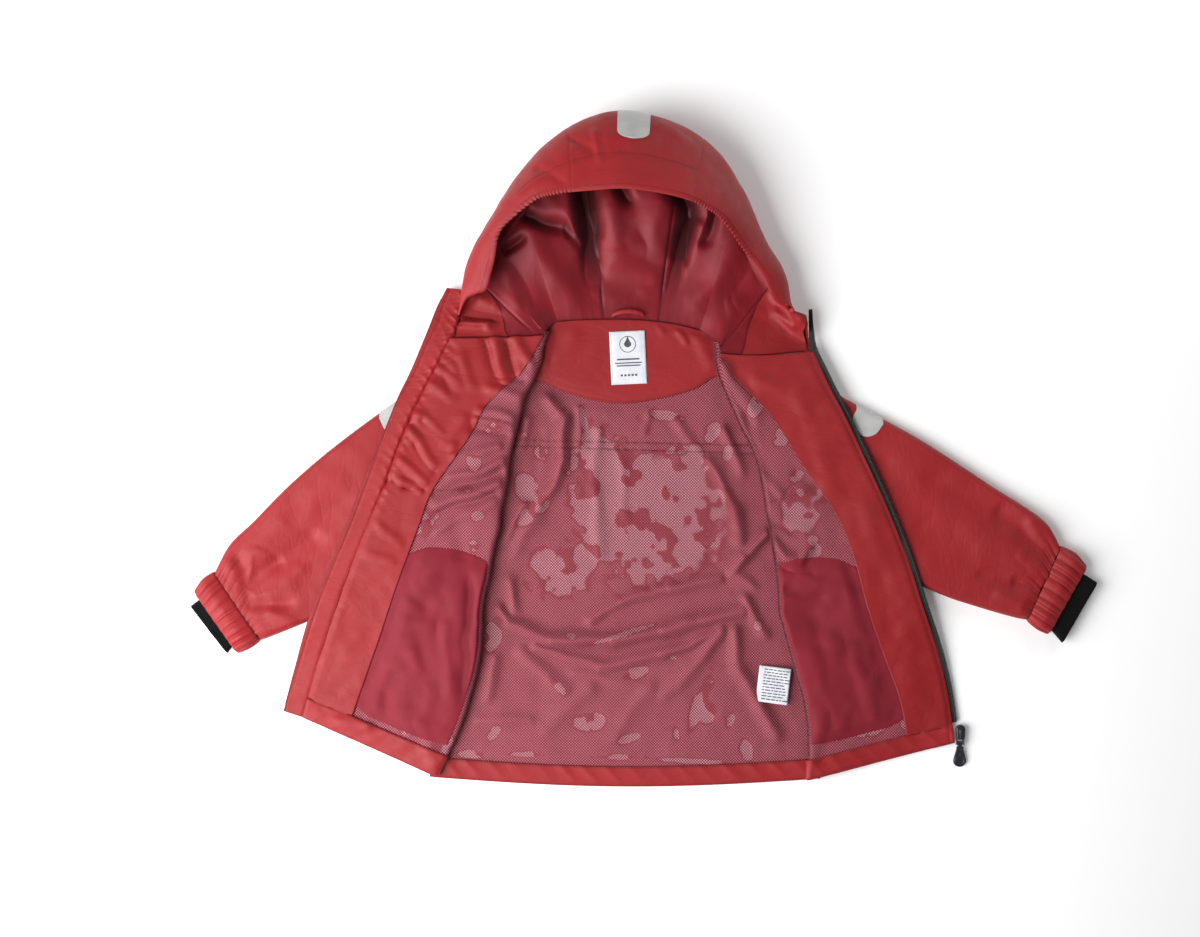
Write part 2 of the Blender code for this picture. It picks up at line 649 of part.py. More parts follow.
def even_steps(table, row, count):
    """Steps that lie at equal distances round the ring at a row."""
    fine = np.linspace(0, 4, 401)[:-1]
    ring = tube(table, [row], fine)[0]
    edges = np.linalg.norm(np.roll(ring, -1, axis=0) - ring, axis=1)
    lengths = np.concatenate([[0.0], np.cumsum(edges)])
    return np.interp(np.arange(count) / count * lengths[-1], lengths, np.append(fine, 4.0))


def build_sleeve(side_name, table, folds, side):
    """A tube with its soft folds on the upper wall only, so that it rests on the lower one."""
    rows, steps = np.linspace(0, len(table) - 1, SLEEVE_ROWS), ring_steps(RUN_STEPS, TURN_STEPS)
    grid = tube(table, rows, steps)
    upper = np.interp(steps, (1, 2, 3, 4), (0, 1, 1, 0)) ** 2
    grid[..., 2] += upper * fold_heights(grid, folds)
    grid = drawn_in(grid, ROOT_GAP, SEAM_GAP / 2)
    cloth(f"sleeve_{side_name}", grid, side, SHELL_T, "shell", -1, closed=True)
    build_sleeve_reflector(side_name, side, grid)


def build_cuff(side_name, table, side):
    """The cuff's ring stands out in gathers, which are flat against the floor."""
    steps = even_steps(table, 1, CUFF_STEPS)
    grid = tube(table, np.linspace(0, len(table) - 1, 3), steps)
    wave = np.cos(2 * math.pi * CUFF_GATHERS * np.arange(CUFF_STEPS) / CUFF_STEPS)
    swell = np.array([0.15, 1.0, 0.8])[:, None, None]
    outward = normals(grid, closed=True) * side
    grid = grid + outward * swell * GATHER_DEPTH * (wave[None, :, None] - 1) / 2
    grid[..., 2] = np.maximum(grid[..., 2], 0.0)
    cloth(f"cuff_{side_name}", drawn_in(grid, SEAM_GAP / 2), side, SHELL_T, "shell", -1, closed=True)


def build_rib(side_name, table, side):
    steps = even_steps(table, 1, RIB_STEPS)
    grid = tube(table, np.linspace(0, 1, 3), steps)
    grid[..., 2] += RIB_LIFT
    cloth(f"rib_cuff_{side_name}", grid, side, SHELL_T, "rib", -1, closed=True)


def rounded_half(lengths, radius):
    """Half the width of a band at these distances from its round end."""
    near = np.clip(radius - np.asarray(lengths), 0, 0.98 * radius)
    return np.sqrt(radius**2 - near**2)


def build_sleeve_reflector(side_name, side, grid):
    """A band over the upper fold of the sleeve, with a round end on its upper side."""
    start, turn, end = REFLECTOR_STEPS
    steps = np.concatenate([np.linspace(start, turn, 6), np.linspace(turn, end, 6)[1:]])
    columns = np.where(steps < 2, RUN_STEPS + (steps - 1) * TURN_STEPS,
                       RUN_STEPS + TURN_STEPS + (steps - 2) * RUN_STEPS)
    row = REFLECTOR_ROW * (SLEEVE_ROWS - 1) / (len(SLEEVE_LEFT) - 1)
    middle = on_facets(grid, row, columns, closed=True)
    lengths = np.linalg.norm(middle - middle[-1], axis=1)
    pitch = np.linalg.norm(np.diff(on_facets(grid, [row, row + 1], columns[5], True), axis=0))
    half = rounded_half(lengths, REFLECTOR_R) / pitch
    rows = row + half[None, :] * np.linspace(-1, 1, 5)[:, None]
    patch = moved(on_facets(grid, rows, columns[None, :], closed=True), side, SEAM_GAP + 0.2)
    cloth(f"reflector_sleeve_{side_name}", patch, side, REFLECTOR_T, "reflector")


# ---------------------------------------------------------------- hood


def neck_stations():
    """Where the hood meets the neck seam, at each of its stations."""
    top = len(FRONT_LEFT) - 1
    points = []
    for station in range(len(HOOD)):
        end = len(HOOD) - 1 - station
        if min(station, end) < len(FRONT_STATIONS):
            table = FRONT_LEFT if station < end else FRONT_RIGHT
            step = FRONT_STATIONS[min(station, end)][1]
            points.append(front_surface(table, [top], [step])[0, 0])
        else:
            points.append((*NECK_BACK[station - len(FRONT_STATIONS)], FLOOR_Z))
    points = np.array(points)
    points[:, 1] += NECK_GAP
    return points


def hood_sections():
    """Steps along a section: 0 to 1 over the floor, 1 to 2 up the turn and 2 to 3 to the lip."""
    counts = ((0, HOOD_RUN), (1, HOOD_TURN), (2, HOOD_BAND))
    return np.concatenate([np.linspace(k, k + 1, n, endpoint=False) for k, n in counts] + [[3.0]])


def hood_surface(stations, steps):
    """Points of the hood, with a row for each step and a column for each station.

    A section leaves the neck seam, sinks to the height at which the cloth lies, turns up on a
    quarter ellipse and comes forward to the lip on another, which leans a little upwards.
    """
    stations, steps = np.asarray(stations, float), np.asarray(steps, float)[:, None]
    neck = through(neck_stations(), stations)
    turn = through(read(HOOD, HOOD_COLUMNS, HOOD_COLUMNS[:3]), stations)
    lip = through(read(HOOD, HOOD_COLUMNS, HOOD_COLUMNS[3:6]), stations)
    lies = np.maximum(through(read(HOOD, HOOD_COLUMNS, HOOD_COLUMNS[6:]), stations)[:, 0], FLOOR_Z)
    neck[:, 2] = np.maximum(neck[:, 2], FLOOR_Z)
    away = turn[:, :2] - neck[:, :2]
    length = np.linalg.norm(away, axis=1, keepdims=True)
    reach = np.minimum((turn[:, 2] - lies)[:, None] * 1.15, 0.6 * length)
    foot = turn[:, :2] - away / length * reach
    run = np.clip(steps, 0, 1)[..., None]
    rise = np.clip(steps - 1, 0, 1) * math.pi / 2
    over = np.clip(steps - 2, 0, 1) * math.pi / 2
    plan = neck[:, :2] + (foot - neck[:, :2]) * run
    plan = plan + (turn[:, :2] - foot) * np.sin(rise)[..., None]
    plan = plan + (lip[:, :2] - turn[:, :2]) * (1 - np.cos(over))[..., None]
    z = lies + (neck[:, 2] - lies) * (1 - run[..., 0]) ** 2
    z = z + (turn[:, 2] - lies) * (1 - np.cos(rise))
    lean = (1 - BAND_LEAN) * np.sin(over) + BAND_LEAN * (1 - np.cos(over))
    z = z + (lip[:, 2] - turn[:, 2]) * lean
    return np.dstack([plan, z])


def slice_of(grid, start, end):
    """The columns of the hood's grid from one station to another."""
    return grid[:, round(start / HOOD_STEP):round(end / HOOD_STEP) + 1]


def build_hood():
    steps, last = hood_sections(), len(HOOD) - 1
    gap = SEAM_GAP / 2
    stations = np.arange(0, last + HOOD_STEP / 2, HOOD_STEP)
    outer = hood_surface(stations, steps)
    parts = (("side_left", 0, HOOD_PANEL[0]), ("centre", *HOOD_PANEL),
             ("side_right", HOOD_PANEL[1], last))
    for name, start, end in parts:
        panel = drawn_in(slice_of(outer, start, end), 0, 0, gap, gap)
        cloth(f"hood_{name}", panel, -1, SHELL_T, "shell", 0)
    ease = np.interp(stations, *np.transpose(HOOD_EASE))
    folds = fold_heights(outer, HOOD_FOLDS) * np.sin(math.pi * np.clip(steps, 0, 1))[:, None]
    inner = moved(outer, -1, (LAYER_1 + ease + folds)[..., None])
    low, high = HOOD_FACING
    parts = (("facing_left", HOOD_STEP, low, "shell"), ("lining_left", low, HOOD_LINING_PANEL[0], "satin"),
             ("lining_centre", *HOOD_LINING_PANEL, "satin"),
             ("lining_right", HOOD_LINING_PANEL[1], high, "satin"),
             ("facing_right", high, last - HOOD_STEP, "shell"))
    for name, start, end, finish in parts:
        panel = slice_of(inner[:-1], start, end)
        panel = drawn_in(panel, SEAM_GAP, 0, gap, gap)
        cloth(f"hood_{name}", panel, -1, LINING_T, finish)
    build_hood_casing(inner)
    build_hood_reflector(outer)


def build_hood_casing(inner):
    """The turned-in edge of the mouth, with gathers where the elastic draws it in."""
    stations = np.linspace(CASING_ENDS[0], CASING_ENDS[1], 97)
    rows = np.array([len(inner) - 2 + CASING_START, len(inner) - 1])[:, None]
    grid = on_facets(inner, rows, stations[None, :] / HOOD_STEP)
    wave = 0 * stations
    for start, end, count in LIP_GATHERS:
        part = np.clip((stations - start) / (end - start), 0, 1)
        wave += (1 - np.cos(2 * math.pi * count * part)) / 2
    grid = grid - normals(grid) * LIP_GATHER_DEPTH * wave[None, :, None]
    cloth("hood_casing", grid, -1, LINING_T, "shell")


def build_hood_reflector(outer):
    """A patch over the crown, rounded at its lower end."""
    rows = HOOD_RUN + np.linspace(HOOD_REFLECTOR_ROWS[0], HOOD_REFLECTOR_ROWS[1], 9)
    column = HOOD_REFLECTOR_STATION / HOOD_STEP
    middle = on_facets(outer, rows, column)
    lengths = np.linalg.norm(middle - middle[-1], axis=1)
    pitch = np.linalg.norm(np.diff(on_facets(outer, rows[4], [column, column + 1]), axis=0))
    half = rounded_half(lengths, REFLECTOR_R) / pitch
    columns = column + half[:, None] * np.linspace(-1, 1, 6)[None, :]
    patch = moved(on_facets(outer, rows[:, None], columns), 1, LAYER_1 + REFLECTOR_EASE)
    cloth("reflector_hood", patch, -1, REFLECTOR_T, "reflector", -1)


# ---------------------------------------------------------------- labels and loop


def build_labels():
    z = FLOOR_Z + LAYER_3
    half_w, half_h = LABEL_SIZE[0] / 2, LABEL_SIZE[1] / 2
    x, y = np.meshgrid(np.linspace(-half_w, half_w, 4), np.linspace(-half_h, half_h, 4))
    grid = np.dstack([LABEL_X + x, LABEL_Y + y, np.full(x.shape, z)])
    cloth("neck_label", grid, -1, LINING_T, "label")
    turn = np.linspace(0, math.pi, 7)
    leaf = np.concatenate([[0.5], -0.5 - 0.03 * np.sin(turn), [0.46]])
    rise = np.concatenate([[0.0], 1.1 * (1 - np.cos(turn)), [3.4]])
    tilt = 0.12
    y = np.linspace(-CARE_SIZE[1] / 2, CARE_SIZE[1] / 2, 4)[:, None]
    x = leaf[None, :] * CARE_SIZE[0]
    z = FLOOR_Z + LAYER_2 + SEAM_GAP
    grid = np.dstack([CARE_X + x + y * tilt, CARE_Y + y - x * tilt, z + rise + 0 * y])
    cloth("care_label", grid, 1, LINING_T, "label")


def build_loop():
    """A strip that rises off the neck seam and comes back to it."""
    part = np.linspace(0, 1, 9)[None, :]
    across = np.array([0.0, 1.0])[:, None]
    arch = np.sin(math.pi * part) ** 0.6
    x = LOOP_ENDS[0] + (LOOP_ENDS[1] - LOOP_ENDS[0]) * part + 0 * across
    y = 175.0 + 5.0 * arch + across * LOOP_W
    z = FLOOR_Z + LAYER_2 + SEAM_GAP + LOOP_RISE * arch + 0 * across
    cloth("hanger_loop", np.dstack([x, y, z]), -1, LOOP_T, "shell")


# ---------------------------------------------------------------- slider and pull tab


def cylinder(name, centre, radius, length, finish):
    """A round pin or knuckle along X."""
    bpy.ops.mesh.primitive_cylinder_add(
        vertices=20, radius=radius * MM, depth=length * MM,
        location=[value * MM for value in centre], rotation=(0.0, math.pi / 2, 0.0))
    piece = bpy.context.object
    piece.name = piece.data.name = name
    piece.data.materials.append(material(finish))
    for old in piece.users_collection:
        old.objects.unlink(piece)
    jacket.objects.link(piece)
    return piece


def box(name, centre, size):
    bpy.ops.mesh.primitive_cube_add(size=1.0, location=[value * MM for value in centre])
    piece = bpy.context.object
    piece.name = piece.data.name = name
    piece.scale = [value * MM for value in size]
    bpy.ops.object.transform_apply(location=False, rotation=False, scale=True)
    for old in piece.users_collection:
        old.objects.unlink(piece)
    jacket.objects.link(piece)
    return piece


def guide(piece):
    """Keeps a cutter or a joined shape out of the render."""
    piece.hide_render = True
    piece.display_type = "WIRE"
    for old in piece.users_collection:
        old.objects.unlink(piece)
    cutters.objects.link(piece)


def meshed(curve):
    """The curve as a mesh with its caps welded."""
    bpy.context.view_layer.update()
    graph = bpy.context.evaluated_depsgraph_get()
    mesh = bpy.data.meshes.new_from_object(curve.evaluated_get(graph))
    work = bmesh.new()
    work.from_mesh(mesh)
    bmesh.ops.remove_doubles(work, verts=work.verts, dist=1e-6)
    work.to_mesh(mesh)
    work.free()
    name = curve.name
    place = curve.matrix_world.copy()
    bpy.data.objects.remove(curve, do_unlink=True)
    piece = bpy.data.objects.new(name, mesh)
    piece.matrix_world = place
    mesh.name = name
    jacket.objects.link(piece)
    return piece


def join(piece, others):
    for other in others:
        union = piece.modifiers.new(other.name, "BOOLEAN")
        union.operation = "UNION"
        union.object = other
        guide(other)


def build_slider():
    """The slider: two rounded plates over and under the chain, joined at their head, and two
    lugs that carry the pin of the pull tab. It is one body with the zip."""
    x, y = SLIDER_AT
    half_w, half_l = SLIDER_SIZE[0] / 2, SLIDER_SIZE[1] / 2
    turn = np.linspace(0, math.pi, 9)
    head = np.column_stack([half_w * np.cos(turn), half_l - half_w + half_w * np.sin(turn)])
    outline = np.concatenate([head, [(-half_w * 0.8, -half_l), (half_w * 0.8, -half_l)]])
    body = meshed(rounded_plate("zip_slider", outline + (x, y), SLIDER_Z, SLIDER_H, "metal"))
    lugs = []
    for side in (-1, 1):
        reach = KNUCKLE_L / 2 + LUG_T / 2 + SEAM_GAP
        centre = (PIN_AT[0] + side * reach, (PIN_AT[1] + y - half_l) / 2 + 0.6, PIN_AT[2])
        length = (y - half_l) - PIN_AT[1] + 2 * KNUCKLE_R
        lugs.append(box(f"lug_{side}", centre, (LUG_T, length, 2 * KNUCKLE_R)))
    lugs.append(cylinder("pin", PIN_AT, PIN_R, KNUCKLE_L + 2 * LUG_T, "metal"))
    join(body, lugs)


def build_tab():
    """The pull tab: a knuckle round the pin and a drop-shaped plate, drooping to the floor."""
    narrow, wide = TAB_NECK / 2, TAB_W / 2
    turn = np.linspace(0, -math.pi, 13)
    reach = TAB_LENGTH - wide
    foot = np.column_stack([wide * np.cos(turn), -reach + wide * np.sin(turn)])
    stem = KNUCKLE_L / 2 - 0.2
    left = [(-narrow, -KNUCKLE_R - 2.9), (-stem, -KNUCKLE_R - 0.6), (-stem, -KNUCKLE_R * 0.4)]
    right = [(-x, y) for x, y in reversed(left)]
    outline = np.concatenate([right, foot, left])
    plate = rounded_plate("zip_pull_tab", outline, 0.0, TAB_T, "metal")
    plate = meshed(plate)
    knuckle = cylinder("knuckle", (0.0, 0.0, 0.0), KNUCKLE_R, KNUCKLE_L, "metal")
    join(plate, [knuckle])
    bore = cylinder("pin_bore", (0.0, 0.0, 0.0), PIN_R + SEAM_GAP, 4 * KNUCKLE_L, "metal")
    cut = plate.modifiers.new("Pin bore", "BOOLEAN")
    cut.operation = "DIFFERENCE"
    cut.object = bore
    guide(bore)
    hinge = bpy.data.objects.new("pull_tab_axis", None)
    jacket.objects.link(hinge)
    hinge.location = [value * MM for value in PIN_AT]
    hinge.rotation_euler = (math.radians(TAB_DROOP), 0.0, 0.0)
    for piece in (plate, knuckle, bore):
        piece.parent = hinge


def main():
    build_sleeve("left", SLEEVE_LEFT, SLEEVE_FOLDS_LEFT, 1)
    build_sleeve("right", SLEEVE_RIGHT, SLEEVE_FOLDS_RIGHT, -1)
    build_cuff("left", CUFF_LEFT, 1)
    build_cuff("right", CUFF_RIGHT, -1)
    build_rib("left", RIB_LEFT, 1)
    build_rib("right", RIB_RIGHT, -1)
    build_hood()
    build_labels()
    build_loop()
    build_slider()
    build_tab()
    build_back()
    build_back_inside()
    build_front("left", FRONT_LEFT, 1)
    build_front("right", FRONT_RIGHT, -1)
    build_flap()
    build_left_zip()
    build_right_zip()


for old in list(bpy.data.objects):
    bpy.data.objects.remove(old, do_unlink=True)
jacket = bpy.data.collections.new("rain_jacket")
bpy.context.scene.collection.children.link(jacket)
cutters = bpy.data.collections.new("cutters")
bpy.context.scene.collection.children.link(cutters)
main()
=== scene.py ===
"""The looks of a child's hooded rain jacket, laid open on its back with both fronts turned out.

Every piece of cloth is a surface of two parameters, worked out on a fine grid from the tables
below, which hold the sizes of the jacket's own sections. X runs across the jacket, Y from the hem
to the hood and Z up. Sizes are in millimetres and the meshes are in metres.
"""

import math

import bpy
import numpy as np
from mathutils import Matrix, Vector


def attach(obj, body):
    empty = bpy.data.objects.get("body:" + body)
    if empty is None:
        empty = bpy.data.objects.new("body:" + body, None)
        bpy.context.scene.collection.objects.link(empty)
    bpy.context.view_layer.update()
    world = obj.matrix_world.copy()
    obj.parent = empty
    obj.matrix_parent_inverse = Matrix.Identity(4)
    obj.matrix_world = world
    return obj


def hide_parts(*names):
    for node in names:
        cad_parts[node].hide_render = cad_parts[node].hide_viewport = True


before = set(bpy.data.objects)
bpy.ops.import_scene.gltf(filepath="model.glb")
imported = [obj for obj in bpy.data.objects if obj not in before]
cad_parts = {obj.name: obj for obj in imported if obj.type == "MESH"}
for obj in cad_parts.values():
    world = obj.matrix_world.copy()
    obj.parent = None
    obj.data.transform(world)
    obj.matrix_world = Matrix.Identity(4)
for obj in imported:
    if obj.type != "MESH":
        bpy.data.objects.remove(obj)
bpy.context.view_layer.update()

MM = 0.001

# Cloth and the room between layers
SHELL_T, LINING_T, TAPE_T = 0.9, 0.7, 0.9
LAYER_1, LAYER_2 = 0.9, 2.0
FLOOR_Z = 0.6
HEM_BAND = 23.0
FIRST_ROW_HEIGHT = 62.0
BAND_ROW = HEM_BAND / FIRST_ROW_HEIGHT
FOLD_REACH = 5.5
UNDER_LINING_REACH = 30.0
BACK_HEM_DROP = 10.0
NECK_GAP = 0.2
BAND_LEAN = 0.25
# Rows of stitches: how far they lie from an edge or a crease, and the rows of the linings and of
# the flap on which that is measured
HEM_STITCH, YOKE_STITCH, EDGE_STITCH, FLAP_STITCH = 2.2, 2.4, 5.0, 21.0
MEASURED_ROW, FLAP_MEASURED_ROW = 100, 180
# Pitch of the shell's and the labels' weave, in metres
SHELL_WEAVE, LABEL_WEAVE = 0.00042, 0.0003

FRONT_COLUMNS = (
    "seam_x", "seam_y", "fold_x", "fold_y", "edge_x", "edge_y", "facing", "sag",
    "seam_z", "under_z", "fold_z", "facing_z", "edge_z",
)
FRONT_LEFT = (
    (-224, -352, -216, -350, -370, -283, 49, 0, 1.9, 5.0, 11.0, 4.5, 3.5),
    (-224, -290, -186, -285, -353, -224, 52, 0, 1.9, 6.0, 14.0, 7.0, 6.0),
    (-222, -232, -170, -229, -335, -172, 53, 0, 1.9, 6.5, 16.0, 12.5, 16.5),
    (-218, -161, -161, -150, -314, -113, 53, 0, 1.9, 6.5, 17.0, 17.5, 18.0),
    (-216, -99, -147, -80, -291, -57, 52, 0, 4.0, 6.5, 17.5, 18.0, 18.0),
    (-204, -40, -139, -31, -274, -16, 52, 0, 8.0, 7.5, 18.0, 18.0, 18.0),
    (-192, 23, -130, 26, -253, 41, 70, 0, 8.0, 7.5, 18.0, 17.5, 17.5),
    (-181, 80, -116, 77, -236, 79, 79, 0, 8.0, 7.5, 17.5, 17.0, 17.5),
    (-169, 129, -101, 115, -217, 115, 99, 2, 4.0, 6.5, 16.5, 16.0, 16.5),
    (-98, 159, -87, 159, -201, 151, 108, 4, 1.9, 6.5, 14.5, 15.0, 14.5),
)
FRONT_RIGHT = (
    (224, -354, 210, -354, 378, -312, 49, 0, 1.9, 5.0, 11.0, 4.5, 4.2),
    (224, -305, 208, -293, 370, -255, 51, 0, 1.9, 6.0, 13.0, 6.5, 4.2),
    (222, -241, 198, -244, 358, -207, 56, 0, 1.9, 6.5, 15.0, 9.0, 8.0),
    (220, -161, 179, -175, 339, -153, 58, 0, 1.9, 6.5, 17.0, 16.0, 16.5),
    (217, -76, 170, -103, 322, -101, 57, 0, 4.0, 6.5, 17.5, 18.0, 18.0),
    (205, -23, 161, -46, 301, -48, 59, 0, 8.0, 7.5, 18.0, 18.0, 18.0),
    (193, 29, 148, 17, 277, 6, 77, 0, 8.0, 7.5, 18.0, 17.5, 17.5),
    (182, 80, 123, 69, 253, 57, 86, 2, 8.0, 7.5, 17.5, 17.0, 17.5),
    (168, 133, 106, 113, 231, 100, 107, 6, 4.0, 6.5, 16.5, 16.0, 16.5),
    (112, 150, 101, 147, 215, 136, 108, 13, 1.9, 6.5, 14.5, 15.0, 14.5),
)
FLAP_COLUMNS = ("crease_x", "crease_y", "crease_z", "edge_x", "edge_y", "edge_z")
FLAP = (
    (-370, -283, 3.5, -392, -276, 3.6),
    (-353, -224, 6.0, -378, -224, 5.2),
    (-335, -172, 16.5, -361, -170, 17.5),
    (-314, -113, 18.0, -339, -115, 18.0),
    (-291, -57, 18.0, -317, -61, 18.0),
    (-274, -16, 18.0, -300, -16, 18.0),
    (-253, 41, 17.5, -276, 41, 17.5),
    (-236, 79, 17.5, -259, 83, 17.0),
    (-217, 115, 16.5, -244, 115, 14.0),
    (-201, 151, 14.5, -225, 161, 12.0),
    (-193, 181, 11.5, -215, 187, 9.5),
    (-184, 206, 10.5, -204, 209, 9.0),
)
CHIN_RIGHT = ((212, 161, 14.0), (211, 184, 15.0))
NECK_BACK = ((-78, 170), (-52, 172), (-25, 172.5), (6, 172.5), (38, 170), (63, 166), (86, 160))
NECK_FACING = (
    (-112, 96), (-98, 102), (-75, 92), (-38, 81), (0, 77), (46, 84), (80, 94), (103, 107), (118, 104),
)
RING_COLUMNS = ("top_x", "top_y", "low_x", "low_y", "height")
SLEEVE_LEFT = (
    (-170, 129, -217, -100, 9.2),
    (-213, 110, -245, -112, 11.5),
    (-261, 80, -280, -130, 13.0),
    (-310, 45, -318, -151, 14.0),
    (-352, 12, -350, -167, 14.5),
    (-390, -22, -378, -179, 15.5),
    (-425, -58, -398, -187, 17.0),
    (-452, -84, -411, -192, 18.0),
    (-470, -115, -417, -194, 17.0),
)
SLEEVE_RIGHT = (
    (169, 132, 217, -77, 9.2),
    (222, 100, 248, -91, 11.5),
    (273, 71, 290, -110, 13.0),
    (330, 40, 336, -131, 14.0),
    (378, 10, 372, -146, 14.5),
    (420, -18, 403, -156, 15.5),
    (455, -40, 430, -164, 17.0),
    (482, -60, 449, -169, 18.0),
    (498, -86, 459, -171, 17.0),
)
CUFF_LEFT = (
    (-470, -115, -417, -194, 17.0),
    (-483, -124, -429, -203, 21.0),
    (-493, -138, -443, -209, 17.0),
)
CUFF_RIGHT = (
    (498, -86, 459, -171, 17.0),
    (515, -95, 471, -181, 21.0),
    (528, -109, 484, -187, 17.0),
)
RIB_LEFT = ((-478, -141, -444, -191, 10.0), (-497, -155, -455, -209, 11.0))
RIB_RIGHT = ((515, -112, 480, -173, 10.0), (540, -128, 500, -197, 11.0))
HOOD_COLUMNS = ("turn_x", "turn_y", "turn_z", "lip_x", "lip_y", "lip_z", "lies_z")
HOOD = (
    (-190, 176, 17.0, -182, 196, 21.0, 7.0),
    (-184, 207, 26.0, -165, 203, 40.0, 6.0),
    (-179, 237, 27.0, -155, 232, 50.0, 4.0),
    (-165, 266, 28.0, -144, 268, 62.0, 1.2),
    (-125, 328, 32.0, -107, 301, 80.0, 0.6),
    (-87, 370, 37.0, -77, 309, 90.0, 0.6),
    (-40, 397, 42.0, -40, 312, 96.0, 0.6),
    (9, 403, 44.0, 4, 313, 100.0, 0.6),
    (66, 386, 42.0, 57, 305, 97.0, 0.6),
    (104, 359, 38.0, 88, 294, 90.0, 0.6),
    (132, 319, 34.0, 111, 279, 82.0, 0.6),
    (158, 263, 30.0, 136, 249, 64.0, 1.2),
    (181, 222, 29.0, 157, 222, 56.0, 4.0),
    (190, 187, 27.0, 177, 188, 42.0, 6.0),
    (208, 158, 22.0, 205, 176, 30.0, 7.0),
)
FRONT_STATIONS = ((0, 4.0), (1, 3.4), (2, 2.8), (3, 2.1))

# Where each pocket bag starts: lean of its inner edge, first and last row of the front
POCKET_BAGS = {"left": (0.10, 0.47, 3.56), "right": (0.04, 0.6, 3.9)}
BAG_FOLDS = {
    "left": (
        (-250, -132, -224, -156, 8, -2.4), (-176, -130, -186, -290, 7, -2.8),
        (-272, -165, -222, -178, 9, 2.0), (-242, -206, -222, -262, 9, 2.4),
        (-262, -236, -278, -286, 8, -1.8), (-204, -176, -200, -250, 7, 2.0),
    ),
    "right": (
        (190, -118, 262, -140, 9, 2.6), (188, -160, 270, -196, 12, -2.2), (212, -210, 246, -300, 10, 2.2),
        (196, -236, 214, -318, 8, -2.0), (262, -214, 290, -290, 9, 1.8), (184, -134, 224, -146, 6, -2.0),
    ),
}
SLEEVE_SIDES, CUFF_SIDES, RIB_SIDES = 264, 304, 256
CUFF_ROWS, CUFF_INNER_ROWS = 38, 9
RIB_ROWS, RIB_ROLL_ROWS = 20, 4
CUFF_GATHERS, CUFF_CREASES = 19, 34
HOOD_PANEL = (5.5, 8.5)
HOOD_LINING_PANEL = (6.0, 8.0)
HOOD_FACING_FOOT, HOOD_FACING = (1.05, 12.65), (1.7, 11.9)
LIP_GATHERS = ((2.4, 5.6, 25), (8.3, 11.6, 27))
REFLECTOR_SHAPE = {"sleeve": (17.0, 15.0), "hood": (20.0, 12.0)}
LABEL_X, LABEL_Y, LABEL_SIZE = 3.5, 129.5, (41.0, 61.0)
LABEL_RING_SIDES, PRINT_T = 56, 0.12
CARE_X, CARE_Y, CARE_SIZE, CARE_TILT = 171.0, -246.0, (36.0, 41.0), 0.12
LOOP_ENDS, LOOP_Y, LOOP_W = (-15.0, 22.0), 175.0, 5.0
SLIDER_AT, SLIDER_Z = (385.0, -300.0), 4.6
PIN_AT = (384.2, -312.5, 5.2)

# Soft folds along lines: from_x, from_y, to_x, to_y, half width and rise, below zero for a trough
SLEEVE_FOLDS_LEFT = (
    (-356, -76, -398, -104, 13, -4.0), (-398, -104, -431, -131, 11, -5.5),
    (-438, -104, -432, -146, 8, -4.2), (-428, -152, -388, -152, 8, -3.8), (-418, -92, -446, -112, 9, 2.4),
    (-372, -112, -404, -142, 9, 2.0), (-330, -40, -352, -66, 15, -2.0), (-300, 8, -352, -40, 22, 1.6),
    (-330, -96, -372, -120, 12, -1.8), (-392, -60, -424, -92, 11, 1.8), (-404, -160, -380, -176, 7, 2.2),
    (-275, 40, -300, -30, 24, 1.2),
)
SLEEVE_FOLDS_RIGHT = (
    (355, -14, 430, -48, 16, -2.6), (430, -48, 484, -96, 12, -4.5), (448, -128, 476, -132, 8, -4.2),
    (452, -100, 478, -120, 9, 2.4), (400, -70, 452, -108, 16, 2.0), (428, -140, 452, -152, 7, 2.0),
    (300, 40, 360, -20, 22, 1.4), (340, -70, 402, -110, 18, -1.6), (410, -116, 440, -126, 8, -2.4),
    (290, 10, 330, -60, 20, -1.4), (462, -60, 478, -84, 7, 2.0),
)
